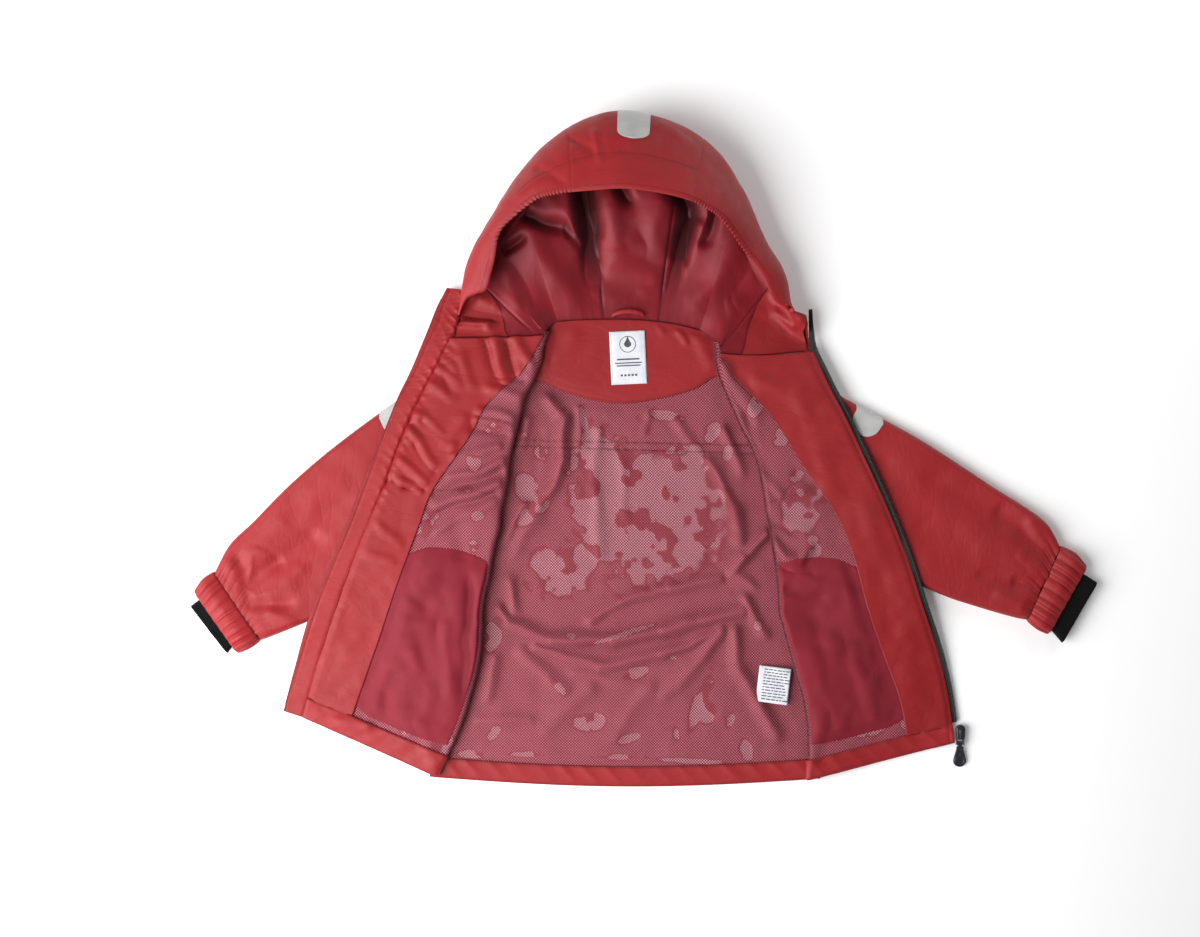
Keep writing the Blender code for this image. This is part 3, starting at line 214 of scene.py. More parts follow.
BACK_FOLDS = (
    (-88, 83, -70, 56, 7, 6.5), (-70, 56, -71, 14, 7, 8.0), (-71, 14, -81, -14, 7, 7.5),
    (-81, -14, -100, -42, 7, 6.0), (-100, -42, -128, -96, 8, 4.5), (-52, 70, -50, 30, 5, 3.0),
    (-44, 44, -46, 8, 5, -2.5), (-134, -176, -83, -192, 7, 7.5), (-83, -192, -14, -197, 7, 8.0),
    (-14, -197, 40, -185, 7, 8.0), (40, -185, 88, -170, 7, 8.0), (88, -170, 136, -161, 7, 7.0),
    (-102, -200, -30, -227, 6, 5.0), (-30, -227, 40, -211, 6, 5.5), (40, -211, 109, -185, 6, 5.5),
    (-38, -171, -3, -148, 6, 4.5), (-3, -148, 50, -134, 6, 5.5), (50, -134, 109, -123, 6, 5.5),
    (98, 8, 125, -45, 6, 5.0), (125, -45, 131, -82, 7, 6.5), (160, -72, 136, -98, 6, 7.0),
    (136, -98, 124, -116, 6, 7.0), (124, -116, 148, -136, 5, 4.0), (125, -184, 131, -226, 7, 6.0),
    (131, -226, 152, -269, 8, 6.0), (152, -269, 172, -305, 8, 6.0), (109, -184, 77, -226, 7, 5.0),
    (77, -226, 45, -258, 8, 3.5), (-146, -160, -131, -178, 5, 6.0), (-132, -128, -128, -160, 7, 5.0),
    (-120, -206, -70, -256, 8, 3.5), (-150, -214, -158, -262, 7, 4.5), (-166, -288, -110, -286, 6, 3.0),
    (-40, -252, -90, -296, 9, 2.6), (30, -250, -10, -300, 9, 2.4), (-30, 44, -34, -20, 6, 2.6),
    (-34, -20, -28, -96, 7, 3.0), (-6, 10, 2, -50, 6, 1.8), (60, 56, 86, 22, 6, 3.0),
    (28, 66, 20, 44, 5, 1.8), (-112, 60, -122, 24, 6, 4.0), (-118, -40, -134, -76, 6, 4.0),
    (-60, -232, 20, -246, 5, 2.2), (112, 44, 132, 0, 6, 4.0), (-96, 40, -104, 4, 5, -2.5),
    (104, -60, 96, -100, 5, -2.5), (140, -150, 158, -186, 6, 5.0), (-20, 92, 30, 84, 5, 1.6),
    (-120, 92, -132, 60, 6, 3.0),
)
HOOD_FOLDS = (
    (-118, 272, -60, 190, 19, 10.0), (-150, 240, -122, 196, 13, 6.0), (-12, 240, 30, 222, 15, 4.5),
    (138, 262, 84, 188, 19, 10.0), (-20, 306, -12, 256, 14, 6.0), (36, 304, 34, 256, 14, 6.0),
    (-92, 236, -88, 196, 10, 3.0), (150, 222, 130, 192, 12, 4.0), (-64, 318, -58, 270, 12, 7.0),
    (82, 320, 86, 284, 12, 7.0), (-20, 268, 20, 256, 10, 3.6), (24, 206, 50, 216, 10, 3.0),
    (-30, 206, -10, 194, 9, 2.6), (108, 206, 122, 184, 9, 3.0), (-128, 212, -112, 190, 8, 2.6),
)
# Folds of the fronts, on their upper side
FRONT_FOLDS_LEFT = (
    (-160, 150, -146, 112, 3.5, -4.0), (-150, 148, -136, 104, 5, 5.5), (-134, 146, -124, 108, 3.5, -5.0),
    (-124, 150, -106, 122, 5, 4.5), (-196, 120, -186, 96, 5, 1.6), (-206, 110, -196, 84, 4, -1.6),
    (-138, 8, -196, -8, 4.5, 5.0), (-140, -2, -214, -28, 4, -4.5), (-142, -14, -212, -42, 4.5, 5.0),
    (-144, 26, -192, 18, 5, 4.4), (-148, -26, -222, -54, 4, -3.4), (-136, 42, -176, 46, 5, -4.0),
    (-118, 84, -154, 92, 6, 4.5), (-262, -8, -288, -22, 4, -3.0), (-130, 50, -170, 56, 4, 3.4),
    (-152, -38, -216, -70, 5, 3.4), (-116, 104, -146, 108, 5, -3.4), (-130, 60, -166, 66, 5, 3.8),
    (-190, -60, -176, -120, 12, -1.8), (-196, -150, -180, -220, 13, 1.8),
    (-238, -170, -226, -260, 12, -2.0), (-258, -230, -250, -300, 12, 1.6),
    (-214, -110, -240, -150, 11, 1.6), (-238, 66, -196, 30, 5, 3.4), (-232, 58, -200, 34, 3.5, -2.4),
    (-246, 44, -216, 8, 5, 3.6), (-240, 30, -214, 2, 3.5, -2.6), (-258, 14, -226, -10, 4.5, 3.2),
    (-262, -8, -232, -22, 4, 3.8), (-252, -18, -228, -20, 3.5, -3.2), (-222, 100, -196, 84, 5, 2.6),
    (-216, 118, -190, 104, 4.5, 2.2), (-184, 60, -204, 36, 6, 1.8), (-186, 130, -176, 96, 5, 2.4),
    (-222, -330, -236, -290, 8, 2.4), (-296, -296, -330, -284, 7, 2.2), (-304, -282, -344, -276, 6, -1.8),
    (-280, -62, -256, -84, 6, 1.8), (-292, -96, -266, -106, 5, 1.6),
)
FRONT_FOLDS_RIGHT = (
    (160, -76, 182, -100, 6, 7.5), (182, -100, 200, -100, 6, 8.0), (200, -100, 210, -86, 6, 6.0),
    (166, -60, 196, -72, 5, -3.5), (180, -112, 214, -118, 6, -3.0), (152, -6, 176, -30, 6, 3.0),
    (112, 120, 128, 92, 6, 5.0), (126, 98, 150, 60, 7, 4.0), (138, 62, 150, 24, 6, -3.0),
    (156, -30, 178, -62, 9, 2.0), (178, -62, 214, -84, 9, 1.8), (144, 30, 160, -8, 9, -2.2),
    (128, 66, 146, 40, 8, 2.6), (206, -30, 232, -62, 11, 1.6), (196, 0, 216, -18, 8, -1.4),
    (224, 30, 236, -20, 12, 1.8), (196, 90, 214, 50, 12, 2.0), (236, -60, 262, -130, 14, -1.6),
    (256, -130, 268, -200, 14, 1.8), (216, -150, 226, -230, 15, -2.0), (236, -200, 250, -280, 13, 1.8),
    (290, -120, 304, -180, 12, -1.4), (316, -190, 330, -260, 12, 1.6), (150, 104, 176, 92, 9, 2.0),
    (122, 108, 140, 84, 7, -2.2), (270, -40, 286, -90, 11, 1.5), (212, -328, 222, -280, 8, 2.4),
)
# Places where the net touches the coated inside of the shell: x, y, half width, half height, turn
NET_TOUCHES = (
    (-4, -40, 58, 92, 0.25), (44, -50, 76, 66, -0.3), (-70, -112, 44, 30, 0.5), (-112, -22, 15, 20, 0.6),
    (-104, -44, 26, 10, 0.8), (94, -10, 12, 44, 0.45), (-70, 70, 5, 4, 0.0), (52, 62, 20, 6, -0.2),
    (-48, 60, 4, 14, 0.2), (-52, 22, 5, 16, -0.2), (-32, 12, 5, 16, 0.1), (-96, 20, 10, 8, -0.9),
    (-80, -244, 5, 16, 0.7), (10, -234, 18, 7, 0.35), (-42, -288, 20, 11, -0.1), (88, -262, 8, 40, -0.35),
    (94, -276, 14, 14, 0.0), (58, -302, 5, 14, 0.1), (4, -308, 14, 5, 0.3), (-150, -184, 10, 26, -0.3),
    (120, -288, 5, 9, -0.6), (0, -187, 38, 3, 0.3), (-62, -190, 6, 4, 0.0), (-150, -300, 7, 12, -0.5),
    (-176, -326, 18, 5, 0.0), (55, -215, 4, 3, 0.0), (152, -178, 5, 6, 0.0), (-166, -120, 6, 14, 0.1),
    (100, 44, 7, 12, -0.5), (118, 20, 5, 9, -0.2), (60, 24, 14, 5, 0.2), (-118, 44, 9, 4, -0.7),
    (-10, -329, 34, 3, 0.0), (80, -334, 40, 3, -0.05), (-110, -326, 20, 3, 0.0), (140, -322, 7, 12, 0.3),
)

# Places of the smaller forms
BRIM_LINE = 2.74
CASING_ROLL = 7.5
# Depth of a valley of the hood's satin, in millimetres, at which its painted shade is full
VALLEY_SHADE_DEPTH = 13.0
HOOD_EASE = ((0.0, 0.3), (1.5, 0.8), (3.0, 0.3), (11.0, 0.3), (12.5, 0.6), (14.0, 0.6))
HOOD_REFLECTOR_STATION, HOOD_REFLECTOR_ENDS = 6.99, (1.65, 2.61)
HOOD_SHELL_FOLDS = (
    (-96, 332, -70, 318, 6, -1.8), (-60, 366, -38, 350, 5, -2.2), (-36, 372, -30, 340, 5, 1.8),
    (40, 380, 96, 348, 8, 1.6), (70, 372, 108, 330, 8, -1.6), (-130, 300, -100, 318, 9, 1.8),
    (120, 318, 148, 262, 9, -1.6), (-150, 262, -128, 300, 8, -1.6), (-20, 366, 30, 362, 7, 1.2),
)
HOOD_VALLEYS = (
    (-46, 332, -42, 270, 13, -28.0), (-42, 270, -34, 222, 10, -20.0), (-34, 222, -28, 196, 7, -9.0),
    (58, 332, 72, 290, 13, -28.0), (72, 290, 62, 246, 10, -24.0), (62, 246, 48, 200, 7, -12.0),
    (-110, 290, -66, 276, 8, -12.0), (104, 300, 92, 262, 8, -10.0), (-8, 330, 2, 306, 7, -12.0),
    (-136, 250, -118, 262, 5, -7.0), (-66, 276, -48, 256, 7, -10.0),
)
CHIN_FOLDS = (
    (-197, 166, -160, 167, 8, 10.0), (-190, 182, -148, 176, 5, -7.0), (-176, 200, -150, 190, 8, 5.0),
    (-192, 162, -166, 162, 4, -3.0), (196, 168, 178, 178, 7, 6.0), (190, 196, 176, 204, 8, 5.0),
)
# Seams across the net of the back: their y at the middle and their slope
NET_SEAMS = ((34.5 - 0.021 * 116, -0.021), (27.6 - 0.03 * 125, -0.03))
NET_LINE_ROWS = {"left": (5.1, 5.0), "right": (5.15, 5.5)}
# Places where the net of the fronts touches the shell
FRONT_TOUCHES = (
    (-168, -52, 8, 6, 0.2), (-180, -20, 10, 5, 0.1), (-172, -86, 9, 7, 0.0), (-226, -60, 12, 22, -0.4),
    (-190, -130, 20, 12, 0.3), (-236, -290, 20, 14, 0.5), (-330, -256, 12, 9, 0.6),
    (-210, -310, 14, 18, 0.0), (-150, 50, 12, 7, 0.2), (-172, 10, 9, 12, 0.3), (200, -40, 22, 34, -0.3),
    (180, 40, 9, 16, -0.4), (214, -90, 12, 14, 0.2), (236, -300, 22, 10, 0.2), (280, -296, 22, 9, 0.2),
    (326, -290, 12, 8, 0.2), (196, -6, 12, 10, 0.0), (150, 76, 9, 18, -0.5), (230, -20, 10, 20, -0.4),
)
HOOD_WALL_FOLDS = (
    (-44, 370, -34, 300, 9, 5.0), (66, 360, 58, 300, 9, 5.0), (-96, 330, -80, 300, 8, 3.0),
    (112, 318, 96, 292, 8, 3.0), (10, 380, 6, 320, 7, 2.0),
)
YOKE_FOLDS = (
    (-60, 150, -78, 128, 10, 1.2), (62, 160, 70, 146, 4, 2.4), (40, 168, 44, 158, 4, 1.8),
    (84, 156, 100, 120, 8, 1.8), (-90, 152, -96, 126, 6, 2.0), (30, 110, 70, 104, 12, 0.8),
)
LABEL_TURN = 0.045
REFLECTOR_ROW, REFLECTOR_SLANT, REFLECTOR_STEPS = 2.1, -0.27, (1.25, 2.0, 2.17)
FLAP_TUCK = (5.0, 0.0, -1.8)
TAPE_W, COIL_PITCH, ZIP_START = 3.6, 1.5, 0.39
RIB_LIFT, RIB_COUNT = 2.8, 64
CORD_R = 0.75
SLIDER_SIZE, SLIDER_H = (10.2, 17.0), 6.4
LUG_HALF, LUG_ROOM = 0.9, 0.3
PIN_R, KNUCKLE_R, KNUCKLE_L = 1.1, 2.3, 5.0
TAB_LENGTH, TAB_W, TAB_NECK, TAB_T, TAB_DROOP = 28.0, 15.0, 8.5, 2.0, 7.0


# ---------------------------------------------------------------- curves, grids and noise


def read(table, columns, names):
    """The named columns of a table, with one row a section."""
    return np.array(table, float)[:, [columns.index(name) for name in names]]


def through(points, at):
    """A smooth curve through the rows of points, read at fractional row numbers: the cubic
    through two neighbours whose slopes are half the step between the rows on either side."""
    points = np.asarray(points, float)
    at = np.clip(np.asarray(at, float), 0, len(points) - 1)
    low = np.minimum(at.astype(int), len(points) - 2)
    part = (at - low)[..., None]
    padded = np.concatenate((2 * points[:1] - points[1:2], points, 2 * points[-1:] - points[-2:-1]))
    a, b, c, d = (padded[low + step] for step in range(4))
    curve = 2 * b + (c - a) * part + (2 * a - 5 * b + 4 * c - d) * part**2
    return 0.5 * (curve + (3 * b - a - 3 * c + d) * part**3)


def unit(vectors):
    return vectors / np.maximum(np.linalg.norm(vectors, axis=-1, keepdims=True), 1e-9)


def normals(grid, closed=False):
    """Unit normals of a grid: its row direction crossed with its column direction."""
    down = np.gradient(grid, axis=0)
    across = ((np.roll(grid, -1, axis=1) - np.roll(grid, 1, axis=1)) / 2 if closed
              else np.gradient(grid, axis=1))
    return unit(np.cross(down, across))


def moved(grid, side, distance, closed=False):
    """The grid moved along its normals, to the given side."""
    return grid + normals(grid, closed) * side * distance


def ramp(low, high, x):
    """0 below low and 1 above high, with a smooth S between them."""
    part = np.clip((np.asarray(x, float) - low) / (high - low), 0, 1)
    return part * part * (3 - 2 * part)


def uneven(x, y, size, seed):
    """Smooth noise between -1 and 1: random values on a lattice of the given size in millimetres,
    joined by S-shaped ramps. The same place always gets the same value."""
    x, y = np.broadcast_arrays(np.asarray(x, float) / size + 4096.5, np.asarray(y, float) / size + 4096.5)
    lattice = np.random.default_rng(seed).uniform(-1, 1, (256, 256))
    column, row = np.floor(x).astype(int), np.floor(y).astype(int)
    part_x, part_y = ramp(0, 1, x - column), ramp(0, 1, y - row)
    near = lattice[row % 256, column % 256] * (1 - part_x) + lattice[row % 256, (column + 1) % 256] * part_x
    far = (lattice[(row + 1) % 256, column % 256] * (1 - part_x)
           + lattice[(row + 1) % 256, (column + 1) % 256] * part_x)
    return near * (1 - part_y) + far * part_y


def fold_heights(grid, folds, seed=3):
    """The rise of a table of soft folds at the points of a grid, from their plan.

    Each is a bell across its line, wanders a little to both sides of it and thins towards its
    second end. Where two ridges or two troughs meet, the larger one counts.
    """
    plan = grid[..., :2] + np.stack([uneven(grid[..., 0], grid[..., 1], 26, seed + axis) * 3.2
                                     for axis in (0, 1)], axis=-1)
    ridges, troughs = 0.0, 0.0
    for from_x, from_y, to_x, to_y, half_width, rise in folds:
        start = np.array((from_x, from_y))
        run = np.array((to_x, to_y)) - start
        part = np.clip((plan - start) @ run / (run @ run), 0, 1)
        away = np.linalg.norm(plan - start - part[..., None] * run, axis=-1)
        height = rise * (1 - 0.3 * part) * np.exp(-(away / half_width) ** 2)
        ridges, troughs = np.maximum(ridges, height), np.minimum(troughs, height)
    return ridges + troughs


def gather_wave(along, pitch, seed):
    """Uneven gathers along a seam, at about the given pitch: sharp ridges with round valleys
    between them. Their phase wanders, and their height varies from 0.44 to 1."""
    phase = 2 * math.pi * along / pitch + 1.3 * uneven(along, 0, 1.7 * pitch, seed)
    ridge = 1 - np.abs(np.sin(phase / 2)) ** 0.7
    return ridge * (0.72 + 0.28 * uneven(along, 0, 1.2 * pitch, seed + 1))


def lengths_along(points):
    """Distances along a line from its first point."""
    steps = np.linalg.norm(np.diff(points, axis=0), axis=-1)
    return np.concatenate([[0.0], np.cumsum(steps)])


def stretches(*runs):
    """Even steps over runs of a start, an end and a count, each beginning where the last ends."""
    return np.concatenate([np.linspace(*run)[min(number, 1):] for number, run in enumerate(runs)])


def crowded(low, high, count, share=0.5):
    """Numbers from low to high that lie closer together towards both ends."""
    even = np.linspace(0, 1, count)
    return low + (high - low) * ((1 - share) * even + share * ramp(0, 1, even))


def placed(at, lengths, line):
    """Points or directions of a line at the given distances from its first point."""
    return np.column_stack([np.interp(at, lengths, values) for values in line.T])


def unevenness(x, y, *layers):
    """Soft hills and hollows: layers of smooth noise, each with a depth, a size and a seed."""
    return sum(depth * uneven(x, y, size, seed) for depth, size, seed in layers)


def slack(x, y, *layers):
    """Soft hills alone: the same, where each layer only rises."""
    return sum(depth * (1 + uneven(x, y, size, seed)) for depth, size, seed in layers)


# ---------------------------------------------------------------- meshes


def grid_faces(rows, columns, side, closed):
    """Quads of a grid, turned so that their normals point to the given side, and the row and
    column of each of their corners."""
    last = columns if closed else columns - 1
    row, column = np.meshgrid(np.arange(rows - 1), np.arange(last), indexing="ij")
    corner_rows = np.stack([row, row + 1, row + 1, row], axis=-1).reshape(-1, 4)
    corner_columns = np.stack([column, column, column + 1, column + 1], axis=-1).reshape(-1, 4)
    if side < 0:
        corner_rows, corner_columns = corner_rows[:, ::-1], corner_columns[:, ::-1]
    return corner_rows * columns + corner_columns % columns, corner_rows, corner_columns


def tube_faces(rings, sides, side=1):
    """Quads of a tube with open ends."""
    return grid_faces(rings, sides, side, True)[0]


def cloth_lengths(grid, closed):
    """Distances in metres over the cloth, across and down the grid, with the closing column."""
    ring = np.concatenate([grid, grid[:, :1]], axis=1) if closed else grid
    across = np.linalg.norm(np.diff(ring, axis=1), axis=-1).mean(axis=0)
    down = np.linalg.norm(np.diff(ring, axis=0), axis=-1).mean(axis=1)
    across, down = (np.insert(np.cumsum(steps), 0, 0.0) * MM for steps in (across, down))
    return np.meshgrid(across, down)


def add_mesh(name, points, faces, finish, body="jacket", smooth=True):
    """A mesh in metres that rides on a body and takes its finish from a slot. Its faces are an
    array of quads, or lists of any length."""
    mesh = bpy.data.meshes.new(name)
    corners = faces if isinstance(faces, list) else faces.tolist()
    mesh.from_pydata((np.asarray(points, float).reshape(-1, 3) * MM).tolist(), [], corners)
    if smooth:
        mesh.shade_smooth()
    mesh.materials.append(FINISHES[finish][0])
    piece = bpy.data.objects.new(name, mesh)
    bpy.context.scene.collection.objects.link(piece)
    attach(piece, body)
    return piece


def add_wall(piece, thickness, grow):
    """A wall that grows along the normals (1), against them (-1) or both ways (0)."""
    wall = piece.modifiers.new("Wall", "SOLIDIFY")
    wall.thickness = thickness * MM
    wall.offset = grow
    wall.use_even_offset = False


def cloth(name, grid, side, finish, thickness=0.0, grow=1.0, closed=False, plan=None, seam=None,
          touch=None, replaces=None):
    """Cloth on a grid, as a single layer or with a wall.

    Its UV map holds distances over the cloth in metres, or the plan it is given. Seam and touch
    are values of its points. The seam mark is how near a seam the cloth is and how deep in a
    crease, a hollow or a fold's shade; the finishes darken by it, as soiling beside seams and as
    painted shade. Touch is how closely a net lies on what is behind it, and the net's finish
    paints shade behind its holes where it stands off.
    """
    rows, columns = grid.shape[:2]
    faces, corner_rows, corner_columns = grid_faces(rows, columns, side, closed)
    piece = add_mesh(name, grid, faces, finish)
    if plan is None:
        across, down = cloth_lengths(grid, closed)
        uv = np.stack([across[corner_rows, corner_columns], down[corner_rows, corner_columns]], axis=-1)
    else:
        uv = (plan * MM).reshape(-1, 2)[faces]
    piece.data.uv_layers.new(name="Cloth").data.foreach_set("uv", uv.astype(np.float32).ravel())
    for mark, values in (("Seam", seam), ("Touch", touch)):
        if values is not None:
            layer = piece.data.attributes.new(mark, "FLOAT", "POINT")
            values = np.broadcast_to(values, (rows, columns)).astype(np.float32)
            layer.data.foreach_set("value", values.ravel())
    if thickness:
        add_wall(piece, thickness, grow)
    if replaces:
        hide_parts(replaces)


def tube_along(path, radius, sides):
    """Rings of a round tube along a path, each square to it."""
    along = unit(np.gradient(path, axis=0))
    across = unit(np.cross(along, [0.0, 0.0, 1.0]) + [1e-6, 0, 0])
    upper = np.cross(across, along)
    turn = np.linspace(0, 2 * math.pi, sides, endpoint=False)[None, :, None]
    return path[:, None] + radius * (np.cos(turn) * across[:, None] + np.sin(turn) * upper[:, None])


def unrolled(grid, flat_from):
    """The plan of a grid whose columns before the given one turn down: those are laid out flat,
    at their distance over the cloth."""
    plan = grid[..., :2].copy()
    steps = np.linalg.norm(np.diff(grid[:, :flat_from + 1], axis=1), axis=-1)
    away = np.cumsum(steps[:, ::-1], axis=1)[:, ::-1]
    out = unit(plan[:, flat_from + 2] - plan[:, flat_from])
    plan[:, :flat_from] = plan[:, flat_from, None] - out[:, None] * away[..., None]
    return plan


SEWN = {"thread": [], "net_thread": [], "label_thread": []}


def sew(thread, grid, rows, columns, side, lift, closed=False):
    """Keeps a row of stitches for later: a path over a grid and the normals along it."""
    path = sample(grid, rows, columns, closed)
    up = unit(sample(normals(grid, closed) * side, rows, columns, closed))
    SEWN[thread].append((path + up * lift, up))


def sample(grid, rows, columns, closed=False):
    """Points of a grid at fractional row and column numbers."""
    rows, columns = np.broadcast_arrays(np.asarray(rows, float), np.asarray(columns, float))
    low = np.clip(rows.astype(int), 0, grid.shape[0] - 2)
    left = np.floor(columns).astype(int) if closed else np.clip(columns.astype(int), 0, grid.shape[1] - 2)
    down, across = (rows - low)[..., None], (columns - left)[..., None]
    left, right = left % grid.shape[1], (left + 1) % grid.shape[1]
    upper = grid[low, left] * (1 - across) + grid[low, right] * across
    lower = grid[low + 1, left] * (1 - across) + grid[low + 1, right] * across
    return upper * (1 - down) + lower * down


def repeated(points, faces, places, axes):
    """Copies of a small shape: its x, y and z are laid on three axes at each place."""
    copies = places[:, None] + np.einsum("pk,nkj->npj", points, axes)
    shift = (np.arange(len(places)) * len(points))[:, None, None]
    return copies.reshape(-1, 3), (faces[None] + shift).reshape(-1, faces.shape[1])


def stitch_shape():
    """One stitch, 1 long and 1 wide: a low arch of five rings of four sides that dips into the
    cloth at both ends."""
    part = np.linspace(-1, 1, 5)
    arch = np.column_stack([part / 2, 0 * part, 0.62 * (1 - part**2) - 0.1])
    size = 0.5 * np.sqrt(np.clip(1.06 - part**4, 0, 1))
    turn = np.linspace(0, 2 * math.pi, 4, endpoint=False) + math.pi / 4
    ring = np.stack([0 * turn, np.cos(turn), np.sin(turn)], axis=-1)
    points = arch[:, None] + size[:, None, None] * ring[None]
    return points.reshape(-1, 3), tube_faces(5, 4)


def stitches(name, lines, finish, pitch=3.0, share=0.72, width=0.55):
    """Rows of stitches. Each line is a path on the cloth and the cloth's normals along it."""
    places, axes = [], []
    for path, up in lines:
        lengths = lengths_along(path)
        number = max(int(lengths[-1] / pitch), 2)
        at = (np.arange(number) + 0.5) * lengths[-1] / number
        along = unit(placed(at + 0.4, lengths, path) - placed(at - 0.4, lengths, path))
        normal = unit(placed(at, lengths, up))
        beside = unit(np.cross(normal, along))
        places.append(placed(at, lengths, path))
        axes.append(np.stack([along * pitch * share, beside * width, normal * width], axis=1))
    add_mesh(name, *repeated(*stitch_shape(), np.concatenate(places), np.concatenate(axes)), finish)


# ---------------------------------------------------------------- finishes


def set_input(tree, socket, value):
    """Links a node's output to a socket, or sets the socket to a number or a colour."""
    if isinstance(value, bpy.types.NodeSocket):
        tree.links.new(value, socket)
    else:
        socket.default_value = value


def put(tree, kind, inputs=None, **settings):
    """A node with its settings. Its inputs are numbers, colours or other nodes' outputs."""
    made = tree.nodes.new(kind)
    for name, value in settings.items():
        setattr(made, name, value)
    for socket, value in (inputs or {}).items():
        set_input(tree, made.inputs[socket], value)
    return made


def math_node(tree, operation, *values):
    return put(tree, "ShaderNodeMath", dict(enumerate(values)), operation=operation).outputs[0]


def times(tree, first, second):
    return math_node(tree, "MULTIPLY", first, second)


def spread(tree, value, from_low, from_high, to_low=0.0, to_high=1.0):
    """A value mapped from one range to another with soft ends."""
    return put(tree, "ShaderNodeMapRange", {0: value, 1: from_low, 2: from_high, 3: to_low, 4: to_high},
               interpolation_type="SMOOTHSTEP").outputs[0]


def blend_colours(tree, share, first, second):
    return put(tree, "ShaderNodeMix", {0: share, 6: first, 7: second}, data_type="RGBA").outputs[2]


def darkened(tree, colour, mark, depth, dark):
    """A colour that goes towards a dark one where a mark is strong."""
    return blend_colours(tree, times(tree, mark, depth), colour, dark)


def clouded(tree, cloud, dark, light, low=0.35, high=0.65):
    """A colour between two, which follows the clouds of a noise."""
    return blend_colours(tree, spread(tree, cloud, low, high), dark, light)


def tint(colour, share=1.0):
    """A colour made darker or lighter, with its alpha."""
    return (*(value * share for value in colour), 1.0)


def noise(tree, vector, scale, detail=3.0, roughness=0.55):
    return put(tree, "ShaderNodeTexNoise", {"Vector": vector, "Scale": scale, "Detail": detail,
                                            "Roughness": roughness}).outputs[0]


def new_group(name, inputs, outputs):
    """A shader group with vector or value inputs and value outputs."""
    tree = bpy.data.node_groups.new(name, "ShaderNodeTree")
    for title, kind in inputs:
        tree.interface.new_socket(title, in_out="INPUT", socket_type=kind)
    for title in outputs:
        tree.interface.new_socket(title, in_out="OUTPUT", socket_type="NodeSocketFloat")
    start, end = tree.nodes.new("NodeGroupInput"), tree.nodes.new("NodeGroupOutput")
    return tree, start, end


def mark_of(tree, name):
    """A value that the points of the cloth carry."""
    return put(tree, "ShaderNodeAttribute", attribute_name=name).outputs["Fac"]


def plain_weave_group():
    """Height of a plain weave: the sine across times the sine down, with threads of uneven
    thickness, at the given pitch in metres."""
    tree, start, end = new_group("Plain weave", (("Place", "NodeSocketVector"), ("Pitch", "NodeSocketFloat")),
                                 ("Height",))
    turns = math_node(tree, "DIVIDE", math.pi, start.outputs[1])
    place = put(tree, "ShaderNodeVectorMath", {0: start.outputs[0], "Scale": turns}, operation="SCALE")
    axes = put(tree, "ShaderNodeSeparateXYZ", {0: place.outputs[0]})
    across, down = (math_node(tree, "SINE", axes.outputs[k]) for k in (0, 1))
    slub = noise(tree, place.outputs[0], 0.05, 2.0)
    height = math_node(tree, "ADD", math_node(tree, "MULTIPLY", across, down), slub)
    tree.links.new(height, end.inputs[0])
    return tree


def net_group():
    """Round holes of a warp-knitted net on a diagonal lattice, and the height of the threads
    between them. Hole is 1 in a hole. Open sets how wide the holes are, up to half the pitch."""
    tree, start, end = new_group("Knitted net", (("Place", "NodeSocketVector"), ("Pitch", "NodeSocketFloat"),
                                                 ("Open", "NodeSocketFloat")), ("Hole", "Height"))
    axes = put(tree, "ShaderNodeSeparateXYZ", {0: start.outputs[0]})
    waver = math_node(tree, "MULTIPLY", noise(tree, start.outputs[0], 300.0, 1.0), 0.0006)
    squares = []
    for operation in ("ADD", "SUBTRACT"):
        slant = math_node(tree, operation, axes.outputs[0], axes.outputs[1])
        slant = math_node(tree, "ADD", math_node(tree, "MULTIPLY", slant, 0.7071), waver)
        cell = math_node(tree, "FRACT", math_node(tree, "DIVIDE", slant, start.outputs[1]))
        squares.append(math_node(tree, "POWER", math_node(tree, "SUBTRACT", cell, 0.5), 2.0))
    away = math_node(tree, "SQRT", math_node(tree, "ADD", *squares))
    rim = math_node(tree, "SUBTRACT", away, start.outputs[2])
    hole = spread(tree, rim, -0.06, 0.06, 1.0, 0.0)
    tree.links.new(hole, end.inputs[0])
    tree.links.new(spread(tree, rim, -0.05, 0.2), end.inputs[1])
    return tree


def seam_and_shade_group():
    """Darkness from the seam mark, broken up by noise: soiling beside seams, and painted shade
    in creases, hollows and under folds.
    """
    tree, start, end = new_group("Seams and painted shade", (("Place", "NodeSocketVector"),), ("Shade",))
    broken = spread(tree, noise(tree, start.outputs[0], 260.0, 3.0), 0.3, 0.7, 0.55, 1.0)
    shade = times(tree, math_node(tree, "POWER", mark_of(tree, "Seam"), 1.6), broken)
    tree.links.new(shade, end.inputs[0])
    return tree


def grouped(tree, name, *values):
    """The outputs of a shared group, from its inputs in order."""
    return put(tree, "ShaderNodeGroup", dict(enumerate(values)), node_tree=GROUPS[name]).outputs


def new_finish(name, specular=0.5, **more):
    """A material with a Principled shader, whose inputs are set by name, and its node tree."""
    made = bpy.data.materials.new(name)
    made.use_nodes = True
    inputs = made.node_tree.nodes["Principled BSDF"].inputs
    inputs["Specular IOR Level"].default_value = specular
    for socket, value in more.items():
        inputs[socket.replace("_", " ")].default_value = value
    return made, made.node_tree


def cloth_place(tree):
    return put(tree, "ShaderNodeUVMap", uv_map="Cloth").outputs[0]


def solid_place(tree):
    return put(tree, "ShaderNodeTexCoord").outputs["Object"]


